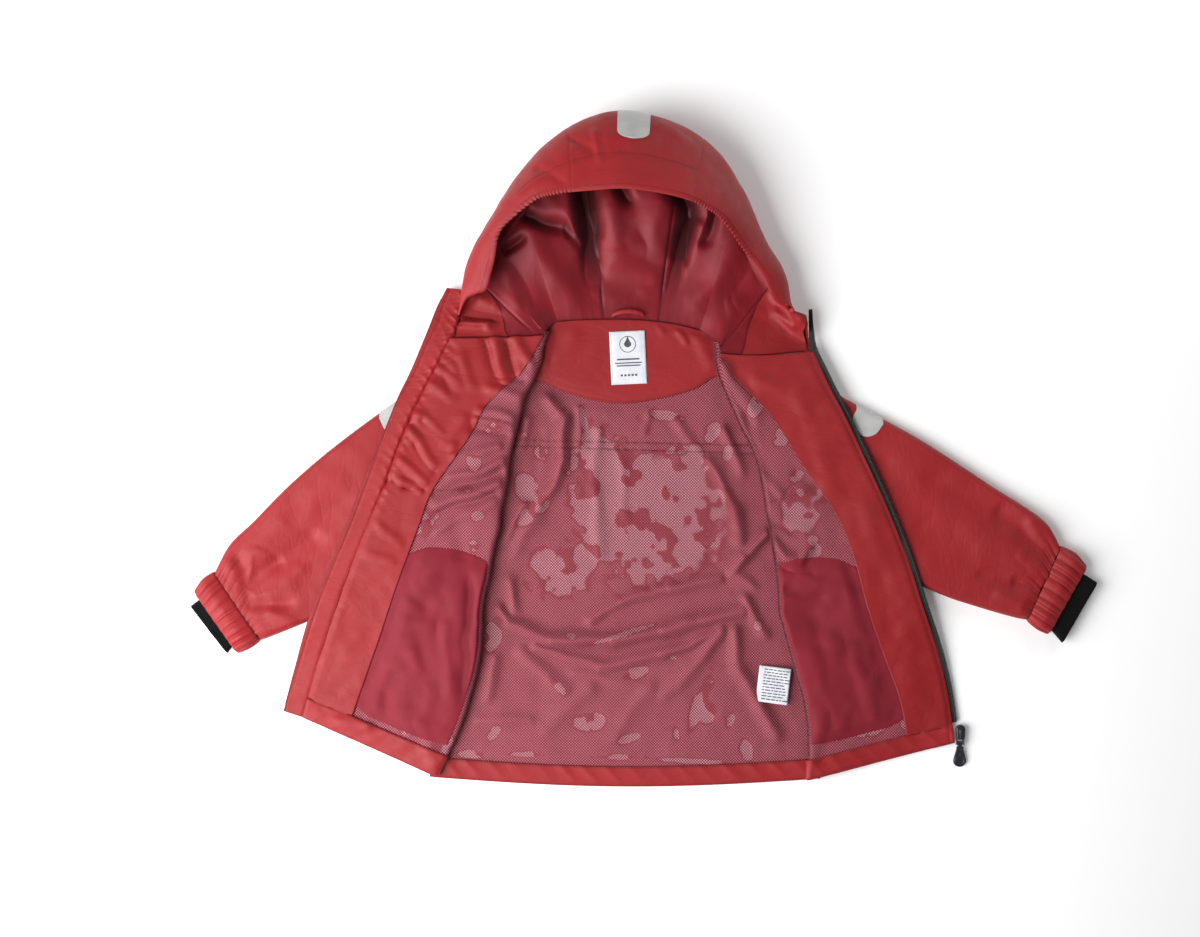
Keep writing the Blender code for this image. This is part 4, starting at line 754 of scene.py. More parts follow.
def dressed(made, colour, roughness, *layers):
    """A material with its colour, its roughness and its bumps in a chain. Each bump has a
    height, a strength and a distance in metres."""
    tree = made.node_tree
    shader = tree.nodes["Principled BSDF"]
    set_input(tree, shader.inputs["Base Color"], colour)
    set_input(tree, shader.inputs["Roughness"], roughness)
    normal = None
    for height, strength, distance in layers:
        inputs = {"Height": height, "Strength": strength, "Distance": distance}
        if normal:
            inputs["Normal"] = normal
        normal = put(tree, "ShaderNodeBump", inputs).outputs[0]
    tree.links.new(normal, shader.inputs["Normal"])
    return made


def shell_finish(name, colour, seam_shade_depth=0.5):
    """Coated polyester: a fine plain weave under a dull film, a little lighter where it has
    rubbed, darker beside seams and with painted shade in creases and hollows from the seam mark,
    with faint crinkles that catch the light."""
    made, tree = new_finish(name, 0.29, Sheen_Weight=0.03, Sheen_Roughness=0.45,
                            Sheen_Tint=(1.0, 0.72, 0.72, 1.0))
    place = cloth_place(tree)
    weave = grouped(tree, "weave", place, SHELL_WEAVE)[0]
    crinkle = noise(tree, place, 55.0, 3.0, 0.6)
    tone = clouded(tree, noise(tree, place, 9.0, 4.0), tint(colour, 0.95), tint(colour, 1.05))
    rubbed = spread(tree, weave, -0.6, 1.4, 0.0, 0.16)
    thread = blend_colours(tree, rubbed, tone, (0.36, 0.03, 0.034, 1.0))
    # Seam darkening and painted shade from the seam mark
    shade = darkened(tree, thread, grouped(tree, "seam", place)[0], seam_shade_depth, tint(colour, 0.25))
    slanted = put(tree, "ShaderNodeMapping",
                  {0: place, "Rotation": (0.0, 0.0, 0.6), "Scale": (1.0, 2.6, 1.0)}).outputs[0]
    middle = math_node(tree, "SUBTRACT", noise(tree, slanted, 15.0, 2.0), 0.5)
    crease = spread(tree, math_node(tree, "ABSOLUTE", middle), 0.0, 0.05)
    return dressed(made, shade, spread(tree, crinkle, 0.3, 0.7, 0.46, 0.6),
                   (crease, 0.1, 0.0011), (crinkle, 0.3, 0.0009), (weave, 0.25, 0.00012))


def net_finish(name, pitch, opening, colours, roughness=0.62):
    """Knitted net. Behind its holes lies the coated inside of the shell, pale where the two touch.
    Where the net stands off it, the holes show painted shade, darker and redder just beside the
    touches, and the seam mark adds painted shade in creases and along the folds."""
    thread, lifted_in_shade, rim, touching = colours
    made, tree = new_finish(name, 0.2, Sheen_Weight=0.06, Sheen_Roughness=0.4,
                            Sheen_Tint=(1.0, 0.6, 0.65, 1.0))
    place = cloth_place(tree)
    net = grouped(tree, "net", place, pitch, opening)
    touch = mark_of(tree, "Touch")
    cloud = noise(tree, place, 30.0, 4.0, 0.6)
    yarn = clouded(tree, cloud, tint(thread, 0.93), tint(thread, 1.06), 0.32, 0.68)
    ragged = math_node(tree, "ADD", touch, times(tree, noise(tree, place, 420.0, 3.0), 0.12))
    # Painted shade of the net on the shell behind its holes, lighter where the two touch
    off = blend_colours(tree, spread(tree, touch, 0.2, 0.46), tint(lifted_in_shade), tint(rim))
    behind = blend_colours(tree, spread(tree, ragged, 0.54, 0.76), off, tint(touching))
    covered = blend_colours(tree, net[0], yarn, behind)
    shade = darkened(tree, covered, grouped(tree, "seam", place)[0], 0.75, tint(thread, 0.35))
    return dressed(made, shade, spread(tree, net[0], 0.0, 1.0, roughness, roughness - 0.14),
                   (cloud, 0.3, 0.0012), (net[1], 0.6, 0.00045))


def satin_finish(name, colour):
    """Lining satin: smooth floats in one direction that throw broad, soft highlights. Its seam
    mark paints shade, almost black in the hollows."""
    made, tree = new_finish(name, 0.42, Anisotropic=0.4, Anisotropic_Rotation=0.25,
                            Specular_Tint=(1.0, 0.5, 0.56, 1.0), Sheen_Weight=0.26, Sheen_Roughness=0.4,
                            Sheen_Tint=(1.0, 0.45, 0.52, 1.0))
    place = cloth_place(tree)
    floats = put(tree, "ShaderNodeMapping", {0: place, "Scale": (2600.0, 240.0, 1.0)}).outputs[0]
    threads = noise(tree, floats, 1.0, 2.0)
    crumple = noise(tree, place, 40.0, 3.0, 0.5)
    tone = clouded(tree, noise(tree, place, 16.0, 4.0), tint(colour, 0.82), tint(colour, 1.12))
    shining = spread(tree, threads, 0.3, 0.8, 0.0, 0.2)
    tone = blend_colours(tree, shining, tone, (0.21, 0.018, 0.026, 1.0))
    shade = darkened(tree, tone, mark_of(tree, "Seam"), 0.9, tint(colour, 0.1))
    return dressed(made, shade, spread(tree, threads, 0.3, 0.7, 0.44, 0.56),
                   (crumple, 0.3, 0.0016), (threads, 0.12, 0.00008))


def knit_finish(name, colour, pitch, specular=0.3):
    """Ribbed or tape-like knit: a net of tiny loops with almost closed holes."""
    made, tree = new_finish(name, specular, Sheen_Weight=0.05, Sheen_Roughness=0.5)
    place = cloth_place(tree)
    net = grouped(tree, "net", place, pitch, 0.2)
    fuzz = noise(tree, place, 900.0, 3.0, 0.7)
    fuzzy = (*(value * 1.5 + 0.004 for value in colour), 1.0)
    tone = clouded(tree, fuzz, tint(colour, 0.7), fuzzy, 0.35, 0.7)
    shade = darkened(tree, tone, net[0], 0.7, tint(colour, 0.3))
    return dressed(made, shade, spread(tree, fuzz, 0.3, 0.7, 0.7, 0.88),
                   (net[1], 0.6, 0.0003), (fuzz, 0.3, 0.00015))


def solid_finish(name, colour, roughness, grain, wear, metallic=0.0, depth=0.00006):
    """Moulded plastic, thread, print or plated metal: a fine grain, and a paler wear colour
    where a larger noise has rubbed it."""
    made, tree = new_finish(name, Metallic=metallic)
    place = solid_place(tree)
    fine, broad = noise(tree, place, grain, 4.0, 0.65), noise(tree, place, grain / 9, 3.0)
    tone = blend_colours(tree, spread(tree, broad, 0.52, 0.72, 0.0, 0.6), tint(colour), tint(wear))
    rough = spread(tree, fine, 0.3, 0.7, roughness - 0.08, roughness + 0.1)
    return dressed(made, tone, rough, (fine, 0.4, depth))


def reflector_finish():
    """Retroreflective film: grey glass beads bound in resin, each a small bump that glints."""
    made, tree = new_finish("Reflective film", 0.6, Coat_Weight=0.25, Coat_Roughness=0.35)
    place = cloth_place(tree)
    beads = put(tree, "ShaderNodeTexVoronoi", {"Vector": place, "Scale": 2600.0}).outputs["Distance"]
    cloud = noise(tree, place, 45.0, 4.0)
    tone = clouded(tree, cloud, (0.45, 0.45, 0.435, 1.0), (0.54, 0.535, 0.52, 1.0), 0.3, 0.7)
    bead = blend_colours(tree, spread(tree, beads, 0.0, 0.7, 0.0, 0.3), tone, (0.2, 0.2, 0.2, 1.0))
    return dressed(made, bead, spread(tree, cloud, 0.3, 0.7, 0.34, 0.5),
                   (cloud, 0.2, 0.0006), (beads, 0.5, 0.0001))


def label_finish():
    """Woven label satin, white, with fine slubs down it and a little grey in its corners."""
    made, tree = new_finish("Label satin", 0.4, Sheen_Weight=0.15)
    place = cloth_place(tree)
    weave = grouped(tree, "weave", place, LABEL_WEAVE)[0]
    cloud = noise(tree, place, 60.0, 3.0)
    tone = clouded(tree, cloud, (0.6, 0.61, 0.67, 1.0), (0.69, 0.7, 0.75, 1.0), 0.3, 0.7)
    shade = darkened(tree, tone, grouped(tree, "seam", place)[0], 0.35, (0.3, 0.3, 0.34, 1.0))
    return dressed(made, shade, spread(tree, weave, -1.0, 1.6, 0.42, 0.58),
                   (cloud, 0.2, 0.0005), (weave, 0.3, 0.00006))


def floor_finish():
    """White background paper with a very faint tooth."""
    made, tree = new_finish("Background paper", 0.1, Emission_Color=(1.0, 1.0, 1.0, 1.0),
                            Emission_Strength=0.07)
    place = solid_place(tree)
    tone = blend_colours(tree, noise(tree, place, 3.0, 2.0), (0.93, 0.93, 0.935, 1.0),
                         (0.94, 0.94, 0.94, 1.0))
    return dressed(made, tone, 0.9, (noise(tree, place, 900.0, 2.0), 0.08, 0.0001))


GROUPS = {"weave": plain_weave_group(), "net": net_group(), "seam": seam_and_shade_group()}
# Thread, then what shows through the holes: painted shade where the net stands off, a darker painted-shade
# rim beside the touches, and the shell's pale inside where the two touch. The pocket knit carries no touch
# mark, so its holes all take its second colour.
NET_COLOURS = ((0.15, 0.0085, 0.017), (0.37, 0.11, 0.14), (0.3, 0.062, 0.082), (0.49, 0.235, 0.275))
KNIT_COLOURS = ((0.235, 0.013, 0.026), (0.1, 0.006, 0.011), (0.1, 0.006, 0.011), (0.16, 0.012, 0.02))
THREAD_ROUGHNESS, THREAD_GRAIN = 0.62, 4000.0
FINISHES = {
    "shell": (shell_finish("Coated shell cloth", (0.272, 0.0108, 0.0135)), "shell"),
    # The facings and the gathered mouth edge are darker copies of the shell cloth: painted shade. The
    # gathered edge also takes three times the painted shade of its seam mark.
    "facing": (shell_finish("Shell cloth in painted shade", (0.25, 0.0088, 0.0111)), "shell"),
    "casing": (shell_finish("Gathered shell cloth in painted shade", (0.25, 0.0098, 0.0127), 1.5), "shell"),
    "net": (net_finish("Net lining", 0.0023, 0.36, NET_COLOURS), "mesh"),
    "knit": (net_finish("Pocket knit", 0.0016, 0.24, KNIT_COLOURS, 0.6), "knit"),
    "satin": (satin_finish("Lining satin", (0.185, 0.0093, 0.0147)), "satin"),
    "rib": (knit_finish("Knitted rib", (0.0026, 0.0026, 0.0028), 0.0008, 0.08), "rib"),
    "tape": (knit_finish("Zip tape", (0.0095, 0.0125, 0.0115), 0.0009, 0.4), "zip"),
    "coil": (solid_finish("Zip coil nylon", (0.012, 0.015, 0.014), 0.34, 2400.0,
                          (0.03, 0.034, 0.033)), "zip"),
    "metal": (solid_finish("Lacquered zinc", (0.055, 0.05, 0.066), 0.36, 1500.0,
                           (0.16, 0.15, 0.17), 0.75, 0.00004), "metal"),
    "reflector": (reflector_finish(), "reflector"),
    "label": (label_finish(), "label"),
    "print": (solid_finish("Woven grey motif", (0.06, 0.06, 0.065), 0.7, 2500.0,
                           (0.13, 0.13, 0.135)), "label"),
    "thread": (solid_finish("Sewing thread", (0.13, 0.006, 0.009), THREAD_ROUGHNESS, THREAD_GRAIN,
                            (0.2, 0.012, 0.016)), "shell"),
    "label_thread": (solid_finish("Label thread", (0.62, 0.63, 0.66), 0.6, THREAD_GRAIN,
                                  (0.7, 0.7, 0.72)), "label"),
    "net_thread": (solid_finish("Lining thread", (0.075, 0.004, 0.007), THREAD_ROUGHNESS, THREAD_GRAIN,
                                (0.11, 0.007, 0.012)), "mesh"),
}


# ---------------------------------------------------------------- fronts

FRONTS = {
    "left": (FRONT_LEFT, FRONT_FOLDS_LEFT, 1, 11),
    "right": (FRONT_RIGHT, FRONT_FOLDS_RIGHT, -1, 23),
}


def near_edges(grid, reach, borders=(1, 1, 1, 1)):
    """1 at the chosen borders of a grid and less inwards: e to the power of minus the distance
    over the cloth divided by the reach. Borders are first and last row, first and last column."""
    near = np.zeros(grid.shape[:2])
    for axis in (0, 1):
        steps = np.linalg.norm(np.diff(grid, axis=axis), axis=-1)
        start = np.insert(np.cumsum(steps, axis=axis), 0, 0.0, axis=axis)
        end = np.take(start, [-1], axis=axis) - start
        for wanted, away in zip(borders[2 * axis:2 * axis + 2], (start, end)):
            near = np.maximum(near, wanted * np.exp(-away / reach))
    return near


def front_line(table, part, rows):
    """A line of a front in the plan, its seam, fold or edge, at fractional rows."""
    return through(read(table, FRONT_COLUMNS, (f"{part}_x", f"{part}_y")), rows)


def front_surface(table, rows, steps, seed):
    """Points of a front at the given rows and steps across it.

    Steps 0 to 1 run from the seam in under the fold, 1 to 2 round the fold on a half ellipse,
    2 to 3 out over it to the facing and 3 to 4 over the facing to the outer edge.
    """
    rows, steps = np.asarray(rows, float), np.asarray(steps, float)
    seam, fold, edge = (front_line(table, part, rows)[:, None] for part in ("seam", "fold", "edge"))
    facing, sag, seam_z, under_z, fold_z, facing_z, edge_z = (
        through(read(table, FRONT_COLUMNS, FRONT_COLUMNS[6:]), rows).T[:, :, None])
    out = unit(edge - fold)
    fold = fold + out * uneven(fold[..., 1:], 0, 19, seed) * 1.5
    centre = fold + out * FOLD_REACH
    line = edge - out * facing[..., None]
    under = np.clip(steps, 0, 1)[None, :]
    turn = np.clip(steps - 1, 0, 1)[None, :] * math.pi
    over = np.clip(steps - 2, 0, 1)[None, :, None]
    faced = np.clip(steps - 3, 0, 1)[None, :, None]
    plan = seam + (centre - seam) * under[..., None]
    plan = plan - out * FOLD_REACH * np.sin(turn)[..., None]
    plan = plan + (line - centre) * over + (edge - line) * faced
    across = np.clip(steps - 2, 0, 2)[None, :] / 2
    plan[..., 1] -= sag * 4 * across * (1 - across)
    lift = seam_z + (under_z - seam_z) * (1 - (1 - under) ** 2)
    lift = lift + (fold_z - under_z) * (1 - np.cos(turn)) / 2
    heights = np.stack([fold_z[:, 0], facing_z[:, 0], edge_z[:, 0]])
    draped = through(heights, np.clip(steps - 2, 0, 2)).T
    return np.dstack([plan, np.where(steps[None, :] > 2, draped, lift)])


def crease_gathers(rows, away, side):
    """Height near the crease of the storm flap at rows of the front, away millimetres from it: a
    shallow, uneven valley and slanting gathers, strongest above the middle. They fade over the
    front, where side is 1, and sooner over the flap, where it is -1."""
    crease = through(read(FLAP, FLAP_COLUMNS, FLAP_COLUMNS[:3]), rows)
    along = lengths_along(crease)[:, None]
    strength = (0.12 + 0.88 * ramp(3.6, 5.4, rows))[:, None] * (1 + 0.5 * uneven(along, 0, 34, 7))
    reach = (9 + 6 * uneven(along, 0, 23, 9)) * (1 if side > 0 else 0.55)
    slant = 0.75 * away * side + 3.5 * uneven(along, away, 16, 19)
    wave = gather_wave(along + slant, 12.5, 5) + 0.45 * gather_wave(along - 0.6 * slant, 7.7, 15)
    gathers = 3.2 * strength * wave * np.exp(-away / reach)
    pinch = (0.5 + 0.9 * strength) * (1 + 0.5 * uneven(along, 0, 12, 17))
    return gathers * ramp(0, 3.5, away) - pinch * np.exp(-(away / 2.2) ** 2)


def edge_puckers(rows, away):
    """Height near the stitched right edge: a shallow groove along the stitches, lightly puckered."""
    along = lengths_along(front_line(FRONT_RIGHT, "edge", rows))[:, None]
    groove = np.exp(-((away - EDGE_STITCH) / 1.7) ** 2)
    return 0.45 * gather_wave(along, 12, 31) * np.exp(-((away - EDGE_STITCH) / 7) ** 2) - 0.55 * groove


def creased_front(name, rows, steps):
    """A front's surface with its soft folds, its small unevenness and what its edge does."""
    table, folds, _, seed = FRONTS[name]
    rows, steps = np.asarray(rows, float), np.asarray(steps, float)
    grid = front_surface(table, rows, steps, seed)
    upper = ramp(1.5, 2.2, steps)[None, :]
    facing = through(read(table, FRONT_COLUMNS, ("facing",)), rows)
    away = facing * np.clip(4 - steps, 0, 1)[None, :] + 120 * np.clip(3 - steps, 0, 1)[None, :]
    x, y = grid[..., 0], grid[..., 1]
    lift = fold_heights(grid, folds, seed) + unevenness(x, y, (1.1, 38, seed), (0.45, 13, seed + 1))
    lift += crease_gathers(rows, away, 1) if name == "left" else edge_puckers(rows, away)
    band = np.exp(-(((rows[:, None] - BAND_ROW) / 0.05) ** 2))
    lift = lift - 0.5 * band * ramp(1.8, 2.4, steps)[None, :]
    grid[..., 2] += upper * lift
    return grid


def beside_folds(grid, folds, heights, seed=3):
    """Shade in the hollows beside folds, from 0 to 0.7: where folds of twice the width would
    still rise but these no longer do."""
    wider = [(*line, 2.1 * half_width, max(rise, 0)) for *line, half_width, rise in folds]
    broad = fold_heights(grid, wider, seed)
    return 0.7 * np.clip((broad - np.maximum(heights, 0)) / 4.5, 0, 1)


def build_front(name):
    """A front: its shell, and on that its hem band, net, facing and pocket bag."""
    _, folds, side, seed = FRONTS[name]
    last = len(FRONT_LEFT) - 1
    rows = np.linspace(0, last, 176)
    steps = stretches((0, 1, 6), (1, 2, 13), (2, 3, 38), (3, 4, 21))
    shell = creased_front(name, rows, steps)
    cloth(f"{name}_front_shell", shell, side, "shell", SHELL_T, 0, seam=near_edges(shell, 3),
          replaces=f"front_shell_{name}")
    build_front_hem_band(name, side, seed)
    build_front_net(name, folds, side, seed)
    build_front_facing(name, side)
    build_pocket_bag(name, side)


def build_front_hem_band(name, side, seed):
    """The hem of a front, turned up inside and stitched along its upper edge in shallow puckers."""
    rows, steps = np.linspace(0, BAND_ROW, 12), np.linspace(1, 4, 130)
    band = creased_front(name, rows, steps)
    along = lengths_along(band[5])[None, :]
    inward = np.linspace(0, HEM_BAND, 12)[:, None]
    pucker = gather_wave(along + 0.8 * inward, 24, seed + 4) * (0.4 + 0.6 * np.exp(-(HEM_BAND - inward) / 9))
    band = moved(band, side, (LAYER_1 + 0.5 + 1.9 * pucker)[..., None] * ramp(-1.5, 3, inward)[..., None])
    cloth(f"{name}_front_hem_band", band, side, "shell", SHELL_T, seam=near_edges(band, 2.5),
          replaces=f"front_hem_band_{name}")
    sew("thread", band, len(rows) - 2, np.linspace(2, len(steps) - 3, 300), side, SHELL_T)


def lining_rows():
    """The rows of a front that its net and its facing cover."""
    return np.linspace(BAND_ROW - 0.03, len(FRONT_LEFT) - 1, 211)


def build_front_net(name, folds, side, seed):
    """The net of a front, with painted shade where it turns down round the fold, on the right
    along the underside of that, and in the hollows beside its folds."""
    rows, steps = lining_rows(), stretches((1, 2, 13), (2, 3.04, 48))
    lining = moved(creased_front(name, rows, steps), side, LAYER_1 + 0.2)
    touch = touches(lining, FRONT_TOUCHES, seed + 6)
    turned_down_shade = 0.55 * ramp(2.0, 1.75, steps) + 0.3 * np.exp(-((steps - 2.0) / 0.05) ** 2)
    if name == "right":
        turned_down_shade = turned_down_shade + 0.75 * np.exp(-((steps - 1.72) / 0.16) ** 2)
    hollow_shade = beside_folds(lining, folds, fold_heights(lining, folds, seed), seed) * ramp(1.5, 2.2, steps)
    seam = np.maximum(near_edges(lining, 1.5, (1, 1, 0, 1)), turned_down_shade + hollow_shade)
    cloth(f"{name}_front_net", lining, side, "net", plan=unrolled(lining, 12), seam=seam, touch=touch,
          replaces=f"front_lining_{name}")
    line = np.interp(NET_LINE_ROWS[name], rows, np.arange(len(rows)))
    sew("net_thread", lining, np.linspace(*line, 100), np.linspace(10, 58, 100), side, 0.2)


def build_front_facing(name, side):
    """The facing along the outer edge, thinner there, stitched down along it on the right."""
    rows, steps = lining_rows(), 3 + crowded(-0.045, 1, 32, 0.6)
    facing = creased_front(name, rows, np.clip(steps, 2, 4))
    lift = 1.9 - 1.45 * ramp(0.85, 1.0, steps - 3)
    facing = moved(facing, side, lift[:, None])
    outer = 0.0 if name == "left" else 1.0
    cloth(f"{name}_front_facing", facing, side, "facing", SHELL_T,
          seam=near_edges(facing, 1.5, (1, 1, 1, outer)), replaces=f"front_facing_{name}")
    if name == "right":
        across = lengths_along(facing[MEASURED_ROW])
        inner = np.interp(across[-1] - EDGE_STITCH, across, np.arange(len(steps)))
        sew("thread", facing, np.linspace(1, len(rows) - 2, 400), inner, side, SHELL_T)


def build_pocket_bag(name, side):
    """The knitted bag over the net between the fold and the facing. Its inner edge leans away
    from the fold towards the hem, and its top is a flat arch."""
    lean, bottom, top = POCKET_BAGS[name]
    part = np.linspace(0, 1, 80)[None, :]
    high = np.linspace(0, 1, 108)[:, None]
    arch = 0.16 * (1 - (2 * part - 1) ** 2) - 0.1 * ramp(0.75, 1, part)
    sag = 0.12 * ramp(0.7, 1.0, part) ** 2 + 0.05 * ramp(0.3, 0, part)
    rows = bottom + sag + (top + arch - bottom - sag) * high
    shift = lean * ramp(0.75, 0, high)
    steps = 1.86 + 1.16 * (shift + (1 - shift) * part)
    base_rows, base_steps = np.linspace(bottom - 0.1, top + 0.3, 150), np.linspace(1.8, 3.06, 150)
    bag = sample(creased_front(name, base_rows, base_steps), *(
        (wanted - made[0]) / (made[-1] - made[0]) * (len(made) - 1)
        for wanted, made in ((rows, base_rows), (steps, base_steps))))
    border = near_edges(bag, 1.8)
    inside = ramp(0, 0.14, np.minimum(part, 0.9 - part)) * ramp(0, 0.08, np.minimum(high, 1 - high))
    drape = fold_heights(bag, BAG_FOLDS[name], 27)
    hollow_shade = np.clip(-drape / 4, 0, 0.5) + beside_folds(bag, BAG_FOLDS[name], drape, 27)
    loose = inside * (1.2 * drape + 0.5 * uneven(bag[..., 0], bag[..., 1], 12, 29) + 2.4)
    bag = moved(bag, side, (LAYER_1 + 1.3 - 0.85 * border + np.maximum(loose, 0))[..., None])
    # Seam mark: darker along its edges, and painted shade in the hollows of its drape
    cloth(f"{name}_pocket_bag", bag, side, "knit", plan=unrolled(bag, 9),
          seam=np.maximum(0.3 * border, 0.8 * inside * hollow_shade),
          replaces=f"pocket_bag_{name}")


# ---------------------------------------------------------------- back


def back_sides(rows):
    return [front_line(table, "seam", rows) for table in (FRONT_LEFT, FRONT_RIGHT)]


def neck_y(x):
    """The height of the neck seam over the back at x."""
    seam = through(NECK_BACK, np.linspace(0, len(NECK_BACK) - 1, 60))
    ends = np.concatenate([[(-98, 160)], seam, [(112, 150)]])
    return np.interp(x, ends[:, 0], ends[:, 1])


def hem_y(x):
    """The lower edge of the back at x: a shallow arc below the side seams."""
    across = np.clip((np.asarray(x) + 224.0) / 448.0, 0, 1)
    return -352.0 - 2.0 * across - BACK_HEM_DROP * np.sin(math.pi * across)


def facing_y(x):
    """The lower edge of the back neck facing at x."""
    arc = through(NECK_FACING, np.linspace(0, len(NECK_FACING) - 1, 80))
    return np.interp(x, arc[:, 0], arc[:, 1])


def lining_limits(y):
    """The left and right edges of the back lining at y, a little way in under both folds."""
    limits = []
    for table, out in ((FRONT_LEFT, -1), (FRONT_RIGHT, 1)):
        rows = np.linspace(0, len(table) - 1, 200)
        seam_x, fold_x = (np.interp(y, line[:, 1], line[:, 0]) for line in (
            front_line(table, "seam", rows), front_line(table, "fold", rows)))
        reach = fold_x + out * UNDER_LINING_REACH
        stop = seam_x - out * np.clip(0.35 * np.abs(seam_x - fold_x), 4.5, 12.0)
        limits.append(np.where(out * reach < out * stop, reach, stop))
    return limits


def facing_limits(y):
    """The sides of the back neck facing at y, just in under both folds."""
    rows = np.linspace(0, len(FRONT_LEFT) - 1, 200)
    left, right = (front_line(table, "fold", rows) for table in (FRONT_LEFT, FRONT_RIGHT))
    return (np.interp(y, left[:, 1], left[:, 0]) - FOLD_REACH,
            np.interp(y, right[:, 1], right[:, 0]) + FOLD_REACH)


def flat_between(low, high, down, columns, limits):
    """A grid at no height between a lower and an upper line, each a function of x. Down holds
    the places of its rows, from 0 to 1."""
    part, across = down[:, None], np.linspace(0, 1, columns)[None, :]
    left, right = limits(low(0.0) + (high(0.0) - low(0.0)) * part)
    x = left + (right - left) * across
    return np.dstack([x, low(x) + (high(x) - low(x)) * part, 0 * x])


def touches(grid, table, seed):
    """How closely the net lies on the shell, from 0 to 1: 0.56 at the borders of the ellipses of
    a table, which wander and have round gaps, and a cloudy ground below that between them."""
    x, y = grid[..., 0], grid[..., 1]
    slant, cross = 0.8 * x + 0.6 * y, 0.8 * y - 0.6 * x
    streaks = uneven(slant, cross * 0.42, 9, seed) + 0.6 * uneven(slant * 1.3, cross * 0.6, 5, seed + 1)
    cloud = uneven(x, y, 26, seed + 2) + 0.6 * uneven(x, y, 11, seed + 3)
    ground = 0.14 + 0.1 * cloud + 0.07 * streaks
    patch = np.zeros(grid.shape[:2])
    for centre_x, centre_y, half_w, half_h, turn in table:
        along = (x - centre_x) * math.cos(turn) + (y - centre_y) * math.sin(turn)
        beside = (y - centre_y) * math.cos(turn) - (x - centre_x) * math.sin(turn)
        away = np.sqrt((along / half_w) ** 2 + (beside / half_h) ** 2)
        patch = np.maximum(patch, 0.56 + 1.6 * (1 - away - 0.16 * cloud - 0.05 * streaks))
    island = ramp(0.0, 0.5, uneven(slant, cross * 0.7, 15, seed + 4) + 0.6 * uneven(x, y, 7, seed + 5))
    return np.clip(np.maximum(ground, np.minimum(patch, 1.0) - 0.55 * island), 0.0, 1.0)


def build_back():
    """The shell of the back on the floor."""
    rows = stretches((0, 8, 41), (8, 9, 7))
    left, right = back_sides(rows)
    across = np.linspace(0, 1, 60)[None, :, None]
    plan = left[:, None] + (right - left)[:, None] * across
    low, high = np.clip(1 - rows / 2, 0, 1)[:, None], np.clip(rows - 8, 0, 1)[:, None]
    plan[..., 1] += low * (hem_y(plan[..., 0]) - plan[..., 1])
    plan[..., 1] += high * (neck_y(plan[..., 0]) - plan[..., 1])
    shell = np.dstack([plan, np.full(plan.shape[:2], FLOOR_Z)])
    cloth("back_shell_cloth", shell, -1, "shell", SHELL_T, 0, seam=near_edges(shell, 3),
          replaces="back_shell")


def build_back_hem_band():
    """The hem of the back, turned up inside and stitched along its upper edge in soft puckers."""
    band = flat_between(lambda x: hem_y(x) + 0.2, lambda x: hem_y(x) + HEM_BAND, np.linspace(0, 1, 12), 210,
                        lining_limits)
    x, inward = band[..., 0], np.linspace(0, HEM_BAND, 12)[:, None]
    pucker = gather_wave(x + 0.9 * inward, 27, 41) * (0.7 + 0.3 * uneven(x, 0, 50, 43))
    pucker = pucker * (0.35 + 0.65 * np.exp(-(HEM_BAND - inward) / 9))
    band[..., 2] = 1.0 + 0.9 * ramp(0, 3, inward) + 2.6 * pucker * ramp(1, 6, inward)
    band[..., 2] -= 0.35 * np.exp(-((inward - HEM_BAND + HEM_STITCH) / 1.3) ** 2)
    cloth("back_hem_band_cloth", band, -1, "shell", SHELL_T, seam=near_edges(band, 2.5, (1, 1, 0, 0)),
          replaces="back_hem_band")
    row = np.interp(HEM_BAND - HEM_STITCH, inward[:, 0], np.arange(len(inward)))
    sew("thread", band, row, np.linspace(2, band.shape[1] - 3, 400), -1, SHELL_T)


def build_back_net():
    """The net of the back, with its soft folds, a pair of seams across it and its touches."""
    net = flat_between(lambda x: hem_y(x) + HEM_BAND - 1.5, lambda x: facing_y(x) + 8.0,
                       np.linspace(0, 1, 175), 170, lining_limits)
    x, y = net[..., 0], net[..., 1]
    touch = touches(net, NET_TOUCHES, 51)
    open_net = ramp(0, 14, facing_y(x) - y) * ramp(0, 10, y - hem_y(x) - HEM_BAND)
    left, right = lining_limits(y)
    free = 0.35 + 0.65 * ramp(6, 24, np.minimum(x - left, right - x))
    soft = slack(x, y, (0.9, 42, 53), (0.6, 15, 54), (0.2, 6, 55))
    folds = fold_heights(net, BACK_FOLDS)
    lift = 1.25 * folds * free + soft * (1 - 0.6 * touch)
    net[..., 2] = FLOOR_Z + 0.75 + open_net * np.maximum(lift, 0)
    lines = [high + slope * x for high, slope in NET_SEAMS]
    for line in lines:
        net[..., 2] -= 0.5 * np.exp(-((y - line) / 2.2) ** 2) * np.minimum(open_net * lift, 1)
    # Seam mark: painted shade where the net runs in under the fronts' folds and in the hollows beside its own
    # folds, and darker lines along its two seams and the hem band
    near_seam = np.maximum(*[np.exp(-np.abs(y - line) / 1.1) for line in lines])
    hollow_shade = beside_folds(net, BACK_FOLDS, folds)
    seam = np.maximum(np.maximum(near_edges(net, 2.2, (1, 0, 1, 1)), near_seam), hollow_shade)
    cloth("back_net", net, -1, "net", plan=net[..., :2], seam=seam, touch=touch, replaces="back_lining")
    at = np.linspace(4, 165, 300)
    for high, slope in NET_SEAMS:
        rows = [np.interp(high + slope * net[MEASURED_ROW, k, 0], net[:, k, 1], np.arange(len(net)))
                for k in at.astype(int)]
        sew("net_thread", net, rows, at, -1, 0.2)


